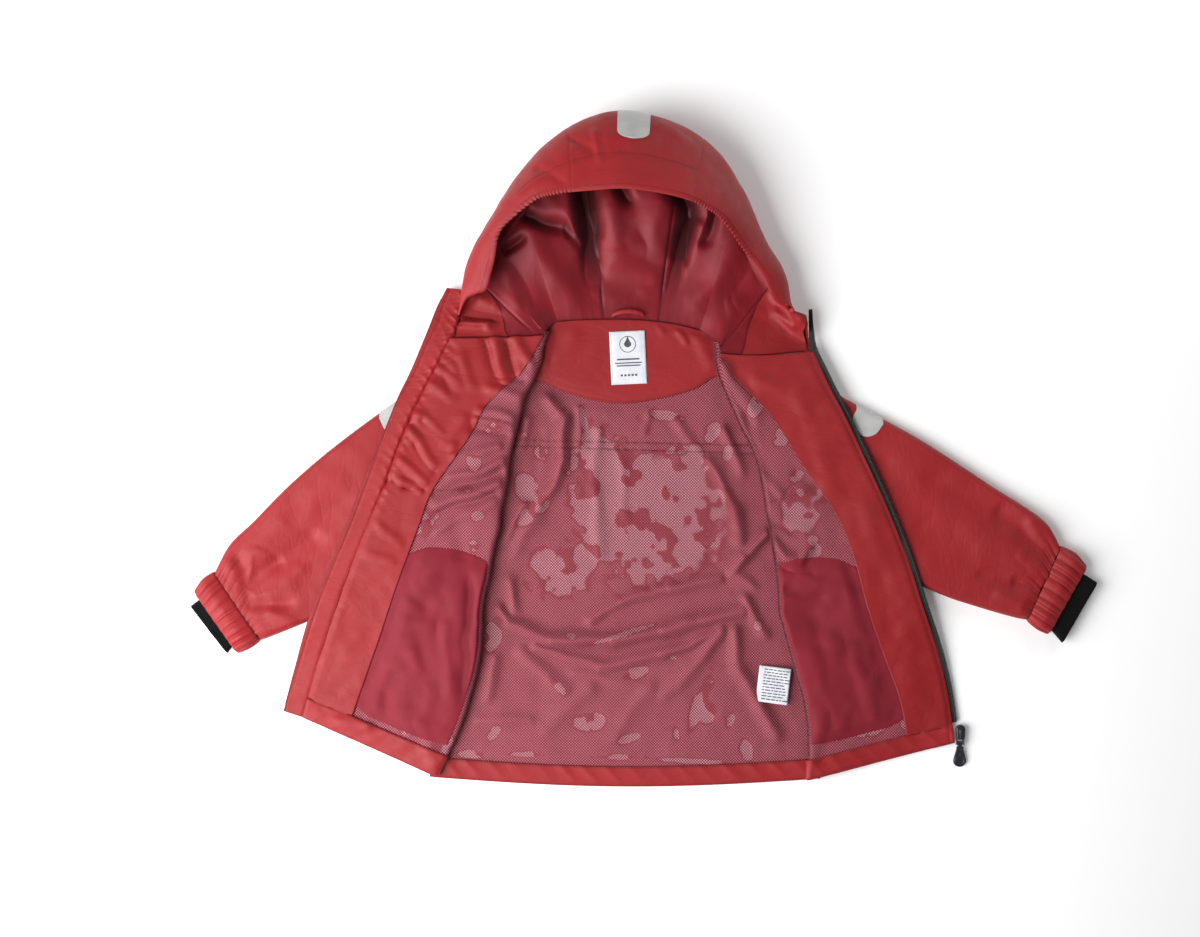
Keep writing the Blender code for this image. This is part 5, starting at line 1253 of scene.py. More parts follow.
def build_back_neck_facing():
    """The facing inside the back neck, stitched down along its lower edge."""
    facing = flat_between(facing_y, lambda x: neck_y(x) + 0.9, crowded(0, 1, 34, 0.6), 110, facing_limits)
    x, y = facing[..., 0], facing[..., 1]
    above = y - facing_y(x)
    lift = fold_heights(facing, YOKE_FOLDS) + slack(x, y, (0.4, 45, 57), (0.15, 14, 58))
    lift = lift * ramp(0, 16, above) * ramp(0, 12, neck_y(x) - y)
    facing[..., 2] = FLOOR_Z + 1.5 + 0.5 * ramp(0, 2, above) + lift
    facing[..., 2] -= 0.35 * np.exp(-((above - YOKE_STITCH) / 1.2) ** 2)
    cloth("yoke", facing, -1, "facing", SHELL_T, seam=near_edges(facing, 2.5, (1, 1, 0, 0)),
          replaces="back_neck_facing")
    row = np.interp(YOKE_STITCH, above[:, above.shape[1] // 2], np.arange(len(above)))
    sew("thread", facing, row, np.linspace(2, facing.shape[1] - 3, 300), -1, SHELL_T)


# ---------------------------------------------------------------- flap and zip


def flap_lines(rows):
    crease = through(read(FLAP, FLAP_COLUMNS, FLAP_COLUMNS[:3]), rows)
    edge = through(read(FLAP, FLAP_COLUMNS, FLAP_COLUMNS[3:]), rows)
    return crease, edge


def build_flap():
    """The storm flap. From its crease beside the left front it is drawn up in gathers that fade
    over its width, with the same phase as those of the front."""
    rows = np.linspace(0, len(FLAP) - 1, 380)
    crease, edge = flap_lines(rows)
    crease = crease + ramp(8.5, 9.3, rows)[:, None] * FLAP_TUCK
    part = crowded(0, 1, 25, 0.5)
    grid = crease[:, None] + (edge - crease)[:, None] * part[None, :, None]
    away = np.linalg.norm(edge - crease, axis=-1)[:, None] * part[None, :]
    x, y = grid[..., 0], grid[..., 1]
    beside = away - FLAP_STITCH
    grid[..., 2] += 0.7 + crease_gathers(rows, away, -1) + slack(x, y, (0.45, 26, 61))
    grid[..., 2] -= 0.45 * np.exp(-((beside / 1.3) ** 2))
    grid[..., 2] += 0.3 * gather_wave(lengths_along(crease)[:, None], 13, 63) * np.exp(-((beside / 5) ** 2))
    cloth("flap", grid, 1, "shell", SHELL_T, 0, seam=near_edges(grid, 2.2, (1, 1, 0, 1)),
          replaces="storm_flap")
    column = np.interp(FLAP_STITCH, away[FLAP_MEASURED_ROW], np.arange(len(part)))
    sew("thread", grid, np.linspace(2, len(rows) - 3, 400), column, 1, SHELL_T / 2)


def build_left_zip():
    """The left half of the zip lies under the flap: its dark tape just shows past the flap's edge,
    with the first teeth of its coil."""
    rows = np.linspace(0.15, len(FLAP) - 1.6, 200)
    crease, edge = flap_lines(rows)
    out = unit(edge - crease)
    reaches = np.concatenate([np.linspace(-14, -1, 5), np.linspace(-0.5, 0.7, 4)])
    lines = [edge + out * reach - [0, 0, 1.4 + 0.05 * reach] for reach in reaches]
    cloth("left_zip_tape", np.stack(lines, axis=1), 1, "tape", TAPE_T, -1, replaces="zip_tape_left")


def right_edge(at):
    """The outer edge of the right front and, past the neck, of the chin."""
    edge = read(FRONT_RIGHT, FRONT_COLUMNS, ("edge_x", "edge_y", "edge_z"))
    return through(np.concatenate([edge, CHIN_RIGHT]), at)


def right_zip_line(count):
    """Points along the right zip, its direction, its outward side and its upper side."""
    line = right_edge(np.linspace(ZIP_START, len(FRONT_RIGHT) + len(CHIN_RIGHT) - 1, count))
    along = unit(np.gradient(line, axis=0))
    out = unit(np.cross(along, [0.0, 0.0, 1.0]))
    return line, along, out, np.cross(out, along)


def coil_shape():
    """One turn of the coil: a flattened loop of nylon that rises over the tape's edge and comes
    back under it, drawn as a tube of 5 sides along 11 points."""
    turn = np.linspace(-0.2, 1.05, 11) * 2 * math.pi
    path = np.column_stack([0.42 * np.sin(turn / 2), 1.75 + 1.55 * np.cos(turn), 0.95 * np.sin(turn)])
    return tube_along(path, 0.36, 5).reshape(-1, 3), tube_faces(11, 5)


def build_right_zip():
    """The right half of the zip beyond the front's edge: tape, coil and the cord of its rim.
    The turns of the coil are copies of one loop."""
    line, along, out, up = right_zip_line(300)
    lengths = lengths_along(line)
    out = out * (1 - 0.6 * ramp(lengths[-1] - 75, lengths[-1], lengths))[:, None]
    rim = TAPE_W + 1.2
    reaches = np.linspace(-4.0, rim, 9)
    lift = np.where(reaches < 0.4, -0.9, 0.0)
    tape = np.stack([line + out * reach + up * rise for reach, rise in zip(reaches, lift)], axis=1)
    cloth("right_zip_tape", tape, -1, "tape", TAPE_T, 0, replaces="zip_tape_right")
    at = np.arange(2.0, lengths[-1] - 1.0, COIL_PITCH)
    place, ahead, beside, above = (placed(at, lengths, values) for values in (line, along, out, up))
    axes = np.stack([unit(ahead), beside, unit(above)], axis=1)
    turns = repeated(*coil_shape(), place + beside * (TAPE_W - 0.4), axes)
    coil = add_mesh("right_zip_coil", *turns, "coil")
    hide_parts("zip_chain_right")
    cord = tube_along(line + out * rim + up * 0.1, CORD_R, 8)
    add_mesh("right_zip_cord", cord, tube_faces(len(cord), 8, -1), "tape")


# ---------------------------------------------------------------- sleeves


SLEEVES = {
    "left": (SLEEVE_LEFT, SLEEVE_FOLDS_LEFT, CUFF_LEFT, RIB_LEFT, 1, 71),
    "right": (SLEEVE_RIGHT, SLEEVE_FOLDS_RIGHT, CUFF_RIGHT, RIB_RIGHT, -1, 83),
}


def flat_ring(top, low, height, steps):
    """Points of a flattened ring that lies on the floor, at steps 0 to 4 round it.

    Steps 0 to 1 run along the floor from the lower fold to the upper one, 1 to 2 turn up round
    it on a half circle, 2 to 3 come back over and 3 to 4 turn down round the lower fold.
    """
    steps = np.asarray(steps, float)
    out = unit(top - low)
    radius = height / 2
    first, second = low + out * radius, top - out * radius
    kind = np.minimum(steps.astype(int), 3)
    part = steps - kind
    angle = part * math.pi
    run = np.where((kind == 0)[:, None], first + (second - first) * part[:, None],
                   second + (first - second) * part[:, None])
    bulge = np.sin(angle)[:, None] * out * radius
    plan = np.where((kind == 1)[:, None], second + bulge, run)
    plan = np.where((kind == 3)[:, None], first - bulge, plan)
    turn = radius * (1 - np.cos(angle))
    z = np.select([kind == 0, kind == 1, kind == 2], [0 * part, turn, height + 0 * part],
                  height - turn)
    return np.column_stack([plan, z])


def tube(table, rows, steps):
    """Flattened rings at the given rows of a table with the columns of a ring."""
    top, low, height = (through(read(table, RING_COLUMNS, names), rows) for names in (
        ("top_x", "top_y"), ("low_x", "low_y"), ("height",)))
    return np.stack([flat_ring(*sizes, steps) for sizes in zip(top, low, height[:, 0])])


def even_steps(table, row, count):
    """Steps that lie at equal distances round the ring at a row."""
    fine = np.linspace(0, 4, 801)[:-1]
    ring = tube(table, [row], fine)[0]
    lengths = lengths_along(np.concatenate([ring, ring[:1]]))
    return np.interp(np.arange(count) / count * lengths[-1], lengths, np.append(fine, 4.0))


def round_the_ring(count, seed):
    """Gathers round a closed ring: waves whose phase wanders and comes back, with sharp valleys
    and shallower, closer ones between them. 0 on top of a gather and 1 in its valley."""
    turn = np.linspace(0, 2 * math.pi, count, endpoint=False)
    chance = np.random.default_rng(seed).uniform(0, 2 * math.pi, 5)
    wander = sum(1.15 / (k + 1) * np.sin((k + 2) * turn + chance[k]) for k in range(5))
    phase = CUFF_GATHERS * turn + wander
    depth = 0.74 + 0.26 * np.sin(3 * turn + chance[0]) * np.sin(5 * turn + chance[1])
    between = CUFF_CREASES * turn + 1.8 * np.sin(4 * turn + chance[2])
    shallow = 0.3 + 0.25 * np.sin(5 * turn + chance[3])
    return np.maximum((1 - np.abs(np.sin(phase / 2)) ** 0.7) * depth,
                      (1 - np.abs(np.sin(between / 2)) ** 0.7) * shallow)


def build_sleeve(name):
    """A sleeve's tube with soft folds, and short creases that fan out from the cuff's gathers."""
    table, folds, _, _, side, seed = SLEEVES[name]
    last = len(table) - 1
    count = SLEEVE_SIDES
    rows = stretches((0, last - 1, 96), (last - 1, last, 32))
    steps = even_steps(table, 5, count)
    grid = tube(table, rows, steps)
    x, y = grid[..., 0], grid[..., 1]
    upper = (np.interp(steps, (1, 2, 3, 4), (0, 1, 1, 0)) ** 2)[None, :]
    root = ramp(0, 1.2, rows)[:, None]
    lift = fold_heights(grid, folds, seed) + unevenness(x, y, (1.1, 46, seed), (0.45, 16, seed + 1))
    grid[..., 2] += upper * lift * root
    from_cuff = np.linalg.norm(grid - grid[-1:], axis=-1)
    reach = 15 + 9 * uneven(np.arange(count)[None, :] * 1.14, 0, 17, seed + 3)
    fan = round_the_ring(count, seed)[None, :] * np.exp(-from_cuff / reach)
    outward = normals(grid, closed=True) * side
    edge = 0.3 * np.exp(-from_cuff / 2.5)
    grid = grid - outward * (2.1 * fan + 1.2 * edge)[..., None]
    grid[..., 2] = np.maximum(grid[..., 2], 0.15)
    cloth(f"{name}_sleeve", grid, side, "shell", closed=True, seam=near_edges(grid, 2.5, (1, 1, 0, 0)),
          replaces=f"sleeve_{name}")
    return grid, steps, rows


def build_cuff(name):
    """A cuff drawn in by elastic: the gathers are deepest between its two seams, and the outer
    edge turns in and back up inside."""
    _, _, table, _, side, seed = SLEEVES[name]
    count = CUFF_SIDES
    steps = even_steps(table, 1, count)
    rows = stretches((0, 2, CUFF_ROWS), (2, 1.55, CUFF_INNER_ROWS + 1))
    grid = tube(table, rows, steps)
    part = np.concatenate([np.linspace(0, 1, CUFF_ROWS), np.ones(CUFF_INNER_ROWS)])[:, None]
    inside = np.concatenate([np.zeros(CUFF_ROWS), np.linspace(0.3, 1, CUFF_INNER_ROWS)])[:, None]
    swell = 0.35 + 0.65 * np.sin(math.pi * np.clip(part * 0.96 + 0.02, 0, 1)) ** 0.7
    wander = 2.0 * uneven(part * 30, np.arange(count)[None, :] / 3.2, 9, seed)
    wave = round_the_ring(count, seed)
    index = (np.arange(count)[None, :] + wander * part) % count
    low = index.astype(int)
    wave = wave[low] * (1 - index + low) + wave[(low + 1) % count] * (index - low)
    outward = normals(tube(table, rows[:CUFF_ROWS], steps), closed=True) * side
    outward = np.concatenate([outward, np.repeat(outward[-1:], CUFF_INNER_ROWS, axis=0)])
    ends = np.exp(-part * 22) + 0.6 * np.exp(-(1 - part) * 30)
    depth = 3.6 * wave * swell + 1.4 * ends + 2.4 * inside
    grid = grid - outward * depth[..., None] + outward * 0.8
    grid[..., 2] = np.maximum(grid[..., 2], 0.12 + inside * 1.2)
    # Seam mark: darker at the seam to the sleeve, and painted shade in the valleys of the gathers
    seam = np.maximum(0.7 * np.exp(-part * 16) * (1 - inside), 0.3 * wave * swell * (1 - inside))
    cloth(f"{name}_cuff", grid, side, "shell", closed=True, seam=seam, replaces=f"cuff_{name}")


def build_rib(name):
    """The knitted cuff inside: fine ribs run down it, and its end is a rolled edge."""
    _, _, _, table, side, seed = SLEEVES[name]
    count = RIB_SIDES
    steps = even_steps(table, 1, count)
    rows = stretches((-0.35, 1, RIB_ROWS), (1, 0.93, RIB_ROLL_ROWS + 1))
    spine = tube(table, np.clip(rows, 0, 1), steps)
    shift = tube(table, [1.0], steps)[0] - tube(table, [0.0], steps)[0]
    grid = spine + np.minimum(rows, 0)[:, None, None] * shift[None]
    grid[..., 2] += RIB_LIFT
    inward = np.concatenate([np.zeros(RIB_ROWS), np.linspace(0.5, 1.8, RIB_ROLL_ROWS)])[:, None]
    rib = np.abs(np.sin(math.pi * RIB_COUNT * np.arange(count) / count))[None, :] ** 0.7
    outward = normals(spine[:RIB_ROWS], closed=True) * side
    outward = np.concatenate([outward, np.repeat(outward[-1:], RIB_ROLL_ROWS, axis=0)])
    soft = 0.9 * uneven(grid[..., 0], grid[..., 1], 12, seed + 5) * (grid[..., 2] > 6)
    grid = grid + outward * (0.55 * rib - 0.3 - inward)[..., None]
    grid[..., 2] += soft * ramp(0, 0.6, rows)[:, None]
    cloth(f"{name}_rib", grid, side, "rib", LINING_T, -1, True, replaces=f"rib_cuff_{name}")


def rounded_half(lengths, kind):
    """Half the width of a band at these distances from its end: a quarter ellipse, then straight."""
    half_width, reach = REFLECTOR_SHAPE[kind]
    near = np.clip(1 - np.asarray(lengths) / reach, 0, 0.995)
    return half_width * np.sqrt(1 - near**2)


def build_sleeve_reflector(name, grid, ring, rows):
    """A reflective band over the upper fold of the sleeve, with a round end on its upper side."""
    side = SLEEVES[name][4]
    start, turn, end = REFLECTOR_STEPS
    steps = stretches((start, turn, 20), (turn, end, 30))
    columns = np.interp(steps, np.append(ring, 4.0), np.arange(len(ring) + 1))
    wanted = REFLECTOR_ROW + REFLECTOR_SLANT * np.interp(steps, (turn, end), (0, 1))
    row = np.interp(wanted, rows, np.arange(len(rows)))
    middle = sample(grid, row, columns, True)
    lengths = np.linalg.norm(middle - middle[-1], axis=1)
    pitch = np.linalg.norm(np.diff(sample(grid, [row[28], row[28] + 1], columns[28], True), axis=0))
    half = rounded_half(lengths, "sleeve") / pitch
    patch_rows = row[None, :] + half[None, :] * np.sin(np.linspace(-1, 1, 19) * math.pi / 2)[:, None]
    patch = moved(sample(grid, patch_rows, columns[None, :], True), side, 0.35)
    cloth(f"{name}_reflector", patch, side, "reflector", 0.35, seam=near_edges(patch, 1.5),
          replaces=f"reflector_sleeve_{name}")


# ---------------------------------------------------------------- hood


def neck_stations():
    """Where the hood meets the neck seam, at each of its stations."""
    top = len(FRONT_LEFT) - 1
    points = []
    for station in range(len(HOOD)):
        end = len(HOOD) - 1 - station
        if min(station, end) < len(FRONT_STATIONS):
            table = FRONT_LEFT if station < end else FRONT_RIGHT
            step = FRONT_STATIONS[min(station, end)][1]
            points.append(front_surface(table, [top], [step], 3)[0, 0])
        else:
            points.append((*NECK_BACK[station - len(FRONT_STATIONS)], FLOOR_Z))
    points = np.array(points)
    points[:, 1] += NECK_GAP
    return points


def hood_surface(stations, steps):
    """Points of the hood, with a row for each step and a column for each station.

    A section leaves the neck seam, sinks to the height at which the cloth lies, turns up on a
    quarter ellipse and comes forward to the lip on another, which leans a little upwards.
    """
    stations, steps = np.asarray(stations, float), np.asarray(steps, float)[:, None]
    neck = through(neck_stations(), stations)
    turn = through(read(HOOD, HOOD_COLUMNS, HOOD_COLUMNS[:3]), stations)
    lip = through(read(HOOD, HOOD_COLUMNS, HOOD_COLUMNS[3:6]), stations)
    lies = np.maximum(through(read(HOOD, HOOD_COLUMNS, HOOD_COLUMNS[6:]), stations)[:, 0], FLOOR_Z)
    neck[:, 2] = np.maximum(neck[:, 2], FLOOR_Z)
    away = turn[:, :2] - neck[:, :2]
    length = np.linalg.norm(away, axis=1, keepdims=True)
    reach = np.minimum((turn[:, 2] - lies)[:, None] * 1.15, 0.6 * length)
    foot = turn[:, :2] - away / length * reach
    run = np.clip(steps, 0, 1)[..., None]
    rise = np.clip(steps - 1, 0, 1) * math.pi / 2
    over = np.clip(steps - 2, 0, 1) * math.pi / 2
    plan = neck[:, :2] + (foot - neck[:, :2]) * run
    plan = plan + (turn[:, :2] - foot) * np.sin(rise)[..., None]
    plan = plan + (lip[:, :2] - turn[:, :2]) * (1 - np.cos(over))[..., None]
    z = lies + (neck[:, 2] - lies) * (1 - run[..., 0]) ** 2
    z = z + (turn[:, 2] - lies) * (1 - np.cos(rise))
    lean = (1 - BAND_LEAN) * np.sin(over) + BAND_LEAN * (1 - np.cos(over))
    z = z + (lip[:, 2] - turn[:, 2]) * lean
    return np.dstack([plan, z])


def lip_wave(stations):
    """Gathers at the mouth's edge: two runs of them, where elastic draws the edge in."""
    wave = 0 * stations
    for start, end, count in LIP_GATHERS:
        part = np.clip((stations - start) / (end - start), 0, 1)
        depth = ramp(0, 0.12, part) * ramp(0, 0.12, 1 - part)
        wave = wave + depth * gather_wave(part * count, 1.0, 91)
    return wave


def hood_shell(stations, steps):
    """The outside of the hood with its creases: along the panel seams and the stitch line of
    the brim, over the gathers of the mouth, and a few soft ones at the turn."""
    stations, steps = np.asarray(stations, float), np.asarray(steps, float)
    grid = hood_surface(stations, steps)
    column, row = stations[None, :], steps[:, None]
    x, y = grid[..., 0], grid[..., 1]
    seams = sum(np.exp(-((column - seam) / 0.028) ** 2) for seam in HOOD_PANEL)
    brim = np.exp(-((row - BRIM_LINE) / 0.022) ** 2) * ramp(3.5, 4.2, column) * ramp(9.0, 8.4, column)
    lip = lip_wave(stations)[None, :] * np.exp(-(3 - row) / 0.06)
    folds = fold_heights(grid, HOOD_SHELL_FOLDS, 93) * ramp(1.5, 2.1, row)
    soft = 1.3 * uneven(x, y + 3 * row * 20, 44, 95) + 0.5 * uneven(x, y + row * 20, 15, 97)
    soft = soft * ramp(0.8, 1.6, row) * ramp(3.0, 2.85, row)
    rise = folds + soft - 0.35 * seams - 0.6 * brim - 0.5 * lip
    return grid + normals(grid) * (rise * ramp(0.0, 0.2, row))[..., None]


def half_wave(rows, last):
    """Half a sine: 0 at the first row, 1 half way and 0 from the last row on."""
    return np.clip(np.sin(math.pi * np.clip(rows / last, 0, 1)), 0, 1)


def hood_lining(stations, steps):
    """The inside of the hood: large slack folds of satin over the floor and up the turn."""
    stations, steps = np.asarray(stations, float), np.asarray(steps, float)
    grid = hood_surface(stations, steps)
    column, row = stations[None, :], steps[:, None]
    x, y = grid[..., 0], grid[..., 1]
    ease = np.interp(stations, *np.transpose(HOOD_EASE))[None, :]
    billow = 20.0 * ramp(200, 300, y) * ramp(0.1, 0.5, row) * ramp(2.3, 1.2, row)
    valleys = fold_heights(grid, HOOD_VALLEYS, 104) * ramp(0.1, 0.5, row) * ramp(2.5, 1.6, row)
    folds = fold_heights(grid, HOOD_FOLDS, 101) * half_wave(row, 1) ** 0.75 + billow + valleys
    climbing = fold_heights(grid, HOOD_WALL_FOLDS, 103) * half_wave(row, 2.6) ** 2
    soft = slack(x, y, (1.1, 34, 105), (0.5, 13, 107)) * half_wave(row, 2.8)
    pucker = gather_wave(column * 24, 11.0, 109) * np.exp(-row / 0.06) * ramp(0.0, 0.03, row)
    pucker = pucker * (0.5 + 0.5 * uneven(column, 0, 0.8, 117))
    seams = sum(np.exp(-((column - seam) / 0.045) ** 2) for seam in (*HOOD_LINING_PANEL, *HOOD_FACING))
    chin = fold_heights(grid, CHIN_FOLDS, 113) * ramp(0.0, 0.12, row)
    lift = np.maximum(folds + climbing + soft + chin - 1.3 * seams, 0) + LAYER_1 + ease + pucker
    return moved(grid, -1, lift[..., None])


def build_hood():
    """The three outer panels of the hood, stitched along its brim."""
    last = len(HOOD) - 1
    steps = stretches((0, 1, 24), (1, 2, 30), (2, 3, 48))
    panels = (("left", "hood_side_left", 0, HOOD_PANEL[0]), ("middle", "hood_centre", *HOOD_PANEL),
              ("right", "hood_side_right", HOOD_PANEL[1], last))
    for name, hidden, start, end in panels:
        stations = np.linspace(start, end, int((end - start) * 37))
        panel = moved(hood_shell(stations, steps), 1, SHELL_T / 2)
        brim = 0.3 * np.exp(-np.abs(steps[:, None] - BRIM_LINE) / 0.018) * (name != "left")
        cloth(f"hood_{name}_panel", panel, -1, "shell", seam=np.maximum(0.12 * near_edges(panel, 2.2), brim),
              replaces=hidden)
        if name != "right":
            first = np.interp(4.0, stations, np.arange(len(stations))) if name == "left" else 1
            row = np.interp(BRIM_LINE, steps, np.arange(len(steps)))
            sew("thread", panel, row, np.linspace(first, len(stations) - 2, 240), 1, 0.0)


def build_hood_lining():
    """Inside the hood: three panels of satin, and a facing of shell cloth at each front edge."""
    last = len(HOOD) - 1
    steps = stretches((0, 1, 54), (1, 2, 34), (2, 2.86, 22))
    whole = hood_lining(np.linspace(0, last, last * 36 + 1), steps)
    low, high = (foot + (over - foot) * ramp(0.0, 1.0, steps)
                 for foot, over in zip(HOOD_FACING_FOOT, HOOD_FACING))
    first, last, left, right = (np.full(len(steps), at) for at in (0.12, last - 0.12, *HOOD_LINING_PANEL))
    parts = (("left_facing", first, low, "facing", "hood_facing_left"),
             ("left_satin", low, left, "satin", "hood_lining_left"),
             ("middle_satin", left, right, "satin", "hood_lining_centre"),
             ("right_satin", right, high, "satin", "hood_lining_right"),
             ("right_facing", high, last, "facing", "hood_facing_right"))
    for name, start, end, finish, hidden in parts:
        share = np.linspace(0, 1, int((end - start).max() * 29) + 6)[None, :]
        columns = (start[:, None] + (end - start)[:, None] * share) * 36
        panel = sample(whole, np.arange(len(steps))[:, None], columns)
        # Painted shade in the deep valleys of the satin, through the seam mark
        valleys = np.clip(-fold_heights(panel, HOOD_VALLEYS, 104) / VALLEY_SHADE_DEPTH, 0, 1)
        valleys = valleys * ramp(0.1, 0.5, steps)[:, None]
        if finish == "facing":
            panel = moved(panel, -1, LINING_T)
        cloth(f"hood_{name}", panel, -1, finish,
              seam=np.maximum(0.8 * near_edges(panel, 1.5), valleys), replaces=hidden)


def build_hood_casing():
    """The turned-in edge of the mouth: it comes out of the lining, rolls round the lip and sits
    in close gathers where the elastic draws it in."""
    stations = np.linspace(0.6, 13.4, 680)
    grid = hood_surface(stations, np.linspace(2.76, 2.985, 14))
    outward = normals(grid)
    wave = lip_wave(stations)[None, :]
    part = np.linspace(0, 1, 14)[:, None]
    depth = 4.2 + 1.3 * wave * ramp(0, 0.5, part) + 0.5 * uneven(stations * 14, 0, 9, 111)
    inner = grid - outward * depth[..., None]
    turn = np.linspace(1.0, 0.0, 13)[:, None] * math.pi
    ahead = unit(grid[-1] - grid[-3])
    inside = 2.1 * (1 - np.cos(turn)) + 0.5 * wave * np.sin(turn)
    beyond = CASING_ROLL * np.sin(turn) * (1 - 0.35 * wave)
    roll = grid[-1] - outward[-1] * inside[..., None] + ahead * beyond[..., None]
    casing = np.concatenate([inner, roll])
    # Seam mark: darker along the seam to the lining, and painted shade in the gathers, which its finish
    # deepens
    gathers = wave**0.6 * np.concatenate([ramp(0.1, 0.5, part), np.sin(turn) ** 0.3])
    sewn = np.exp(-np.concatenate([part, np.ones_like(turn)]) / 0.12)
    seam = np.maximum(sewn, 1.1 * gathers)
    cloth("hood_mouth_edge", casing, -1, "casing", seam=seam, replaces="hood_casing")


def build_hood_reflector():
    """A reflective patch over the crown, rounded at its lower end."""
    steps = np.linspace(*HOOD_REFLECTOR_ENDS, 48)
    station = HOOD_REFLECTOR_STATION
    middle = hood_surface([station, station + 0.1], steps)[:, 0]
    edge = hood_surface([station, station + 1], [2.2])[0]
    lengths = np.linalg.norm(middle - middle[-1], axis=1)
    half = rounded_half(lengths, "hood") / np.linalg.norm(edge[1] - edge[0])
    stations = np.linspace(station - 0.75, station + 0.75, 120)
    base = moved(hood_shell(stations, steps), 1, SHELL_T / 2)
    wanted = station + half[:, None] * np.sin(np.linspace(-1, 1, 25) * math.pi / 2)
    columns = (wanted - stations[0]) / (stations[-1] - stations[0]) * (len(stations) - 1)
    patch = moved(sample(base, np.arange(len(steps))[:, None], columns), 1, 0.35)
    cloth("hood_crown_reflector", patch, -1, "reflector", 0.35, -1, seam=near_edges(patch, 1.5),
          replaces="reflector_hood")


# ---------------------------------------------------------------- labels, loop, slider, stitches


def sew_border(thread, grid, inset, side, lift):
    """Keeps a row of stitches that runs at a distance inside the border of a patch."""
    rows, columns = grid.shape[:2]
    high = lengths_along(grid[:, columns // 2])[-1]
    wide = lengths_along(grid[rows // 2])[-1]
    down, across = inset / high * (rows - 1), inset / wide * (columns - 1)
    first, last, left, right = down, rows - 1 - down, across, columns - 1 - across
    corners = [(first, left), (first, right), (last, right), (last, left), (first, left)]
    at = np.concatenate([np.linspace(a, b, 60, endpoint=False) for a, b in zip(corners, corners[1:])])
    sew(thread, grid, at[:, 0], at[:, 1], side, lift)


def print_on_label(grid):
    """Generic weaving on the neck label: a rain drop inside a ring, three plain rules and a row
    of small squares. Each is a thin raised patch on the label."""
    half = np.array(LABEL_SIZE) / 2
    turn = np.linspace(0, 2 * math.pi, LABEL_RING_SIDES, endpoint=False)
    ring = np.column_stack([np.sin(turn), np.cos(turn)])
    upper = np.clip(-ring[:, 1], 0, 1)
    drop = 0.2 * ring * [1, -1] * np.column_stack([1 - 0.72 * upper**1.5, 1 + 1.05 * upper**2.2])
    outlines = [drop * half[0] + [0, 0.52 * half[1]]]
    outlines += [ring * radius + [0, 0.5 * half[1]] for radius in (9.4, 8.7)]
    boxes = [(0, -0.06, 0.62, 0.028), (0, -0.2, 0.74, 0.02), (0, -0.3, 0.66, 0.02)]
    boxes += [(0.2 * (k - 2), -0.66, 0.055, 0.036) for k in range(5)]
    corners = np.array([(-1, -1), (1, -1), (1, 1), (-1, 1)])
    outlines += [((x, y) + corners * (wide, high)) * half for x, y, wide, high in boxes]
    first, count = LABEL_RING_SIDES, 3 * LABEL_RING_SIDES
    faces = [list(range(first))]
    for side in range(first, 2 * first):
        after = first + (side + 1) % first
        faces.append([side, after, after + first, side + first])
    faces += [list(range(start, start + 4)) for start in range(count, count + 4 * len(boxes), 4)]
    flat = turned(np.concatenate(outlines), LABEL_TURN) + (LABEL_X, LABEL_Y)
    height = np.full(len(flat), grid[..., 2].max() + 0.46)
    flat_patches("neck_label_motif", np.column_stack([flat, height]), faces)


def turned(points, angle):
    spin = np.array([(math.cos(angle), math.sin(angle)), (-math.sin(angle), math.cos(angle))])
    return points @ spin


def flat_patches(name, points, faces):
    """Printed patches of any outline, facing up, with a thin wall."""
    upward = []
    for face in faces:
        corners = points[face][:, :2]
        following = np.roll(corners, -1, axis=0)
        area = (corners[:, 0] * following[:, 1] - corners[:, 1] * following[:, 0]).sum()
        upward.append(face if area > 0 else face[::-1])
    add_wall(add_mesh(name, points, upward, "print", smooth=False), PRINT_T, -1)


def build_neck_label():
    """The neck label, stitched down all round."""
    half_w, half_h = LABEL_SIZE[0] / 2, LABEL_SIZE[1] / 2
    x, y = np.meshgrid(np.linspace(-half_w, half_w, 32), np.linspace(-half_h, half_h, 44))
    plan = turned(np.dstack([x, y]), LABEL_TURN) + (LABEL_X, LABEL_Y)
    puff = ramp(0, 7, half_w - np.abs(x)) * ramp(0, 7, half_h - np.abs(y))
    label = np.dstack([plan, FLOOR_Z + 3.7 + puff * (0.5 + 0.3 * uneven(x, y, 19, 121))])
    cloth("neck_label_cloth", label, -1, "label", 0.4, seam=near_edges(label, 1.3), replaces="neck_label")
    sew_border("label_thread", label, 1.6, -1, 0.4)
    print_on_label(label)


def build_care_label():
    """The care label, a folded tape whose free leaf stands off the lining."""
    wide, high = CARE_SIZE
    turn = np.linspace(0, math.pi, 12)[1:-1]
    lower, upper = np.linspace(0.5, -0.5, 14), np.linspace(-0.5, 0.46, 30)
    x = wide * np.concatenate([lower, -0.5 - 0.03 * np.sin(turn), upper])[None, :]
    y = np.linspace(-high / 2, high / 2, 28)[:, None]
    fold = np.concatenate([0 * lower, 1.2 * (1 - np.cos(turn)), 2.4 + 3.2 * ramp(-0.5, 0.46, upper)])[None, :]
    rise = fold + 0.7 * uneven(x, y, 13, 123) * np.clip(fold / 2.4, 0, 1)
    rise = rise + 1.4 * ramp(0.5, 1.0, np.abs(y) / high * 2) * np.clip(rise / 3.0, 0, 1)
    grid = np.dstack([CARE_X + x + y * CARE_TILT, CARE_Y + y - x * CARE_TILT, FLOOR_Z + 3.4 + rise])
    cloth("care_label_cloth", grid, 1, "label", 0.3, seam=near_edges(grid, 1.2), replaces="care_label")
    build_care_rules(grid)


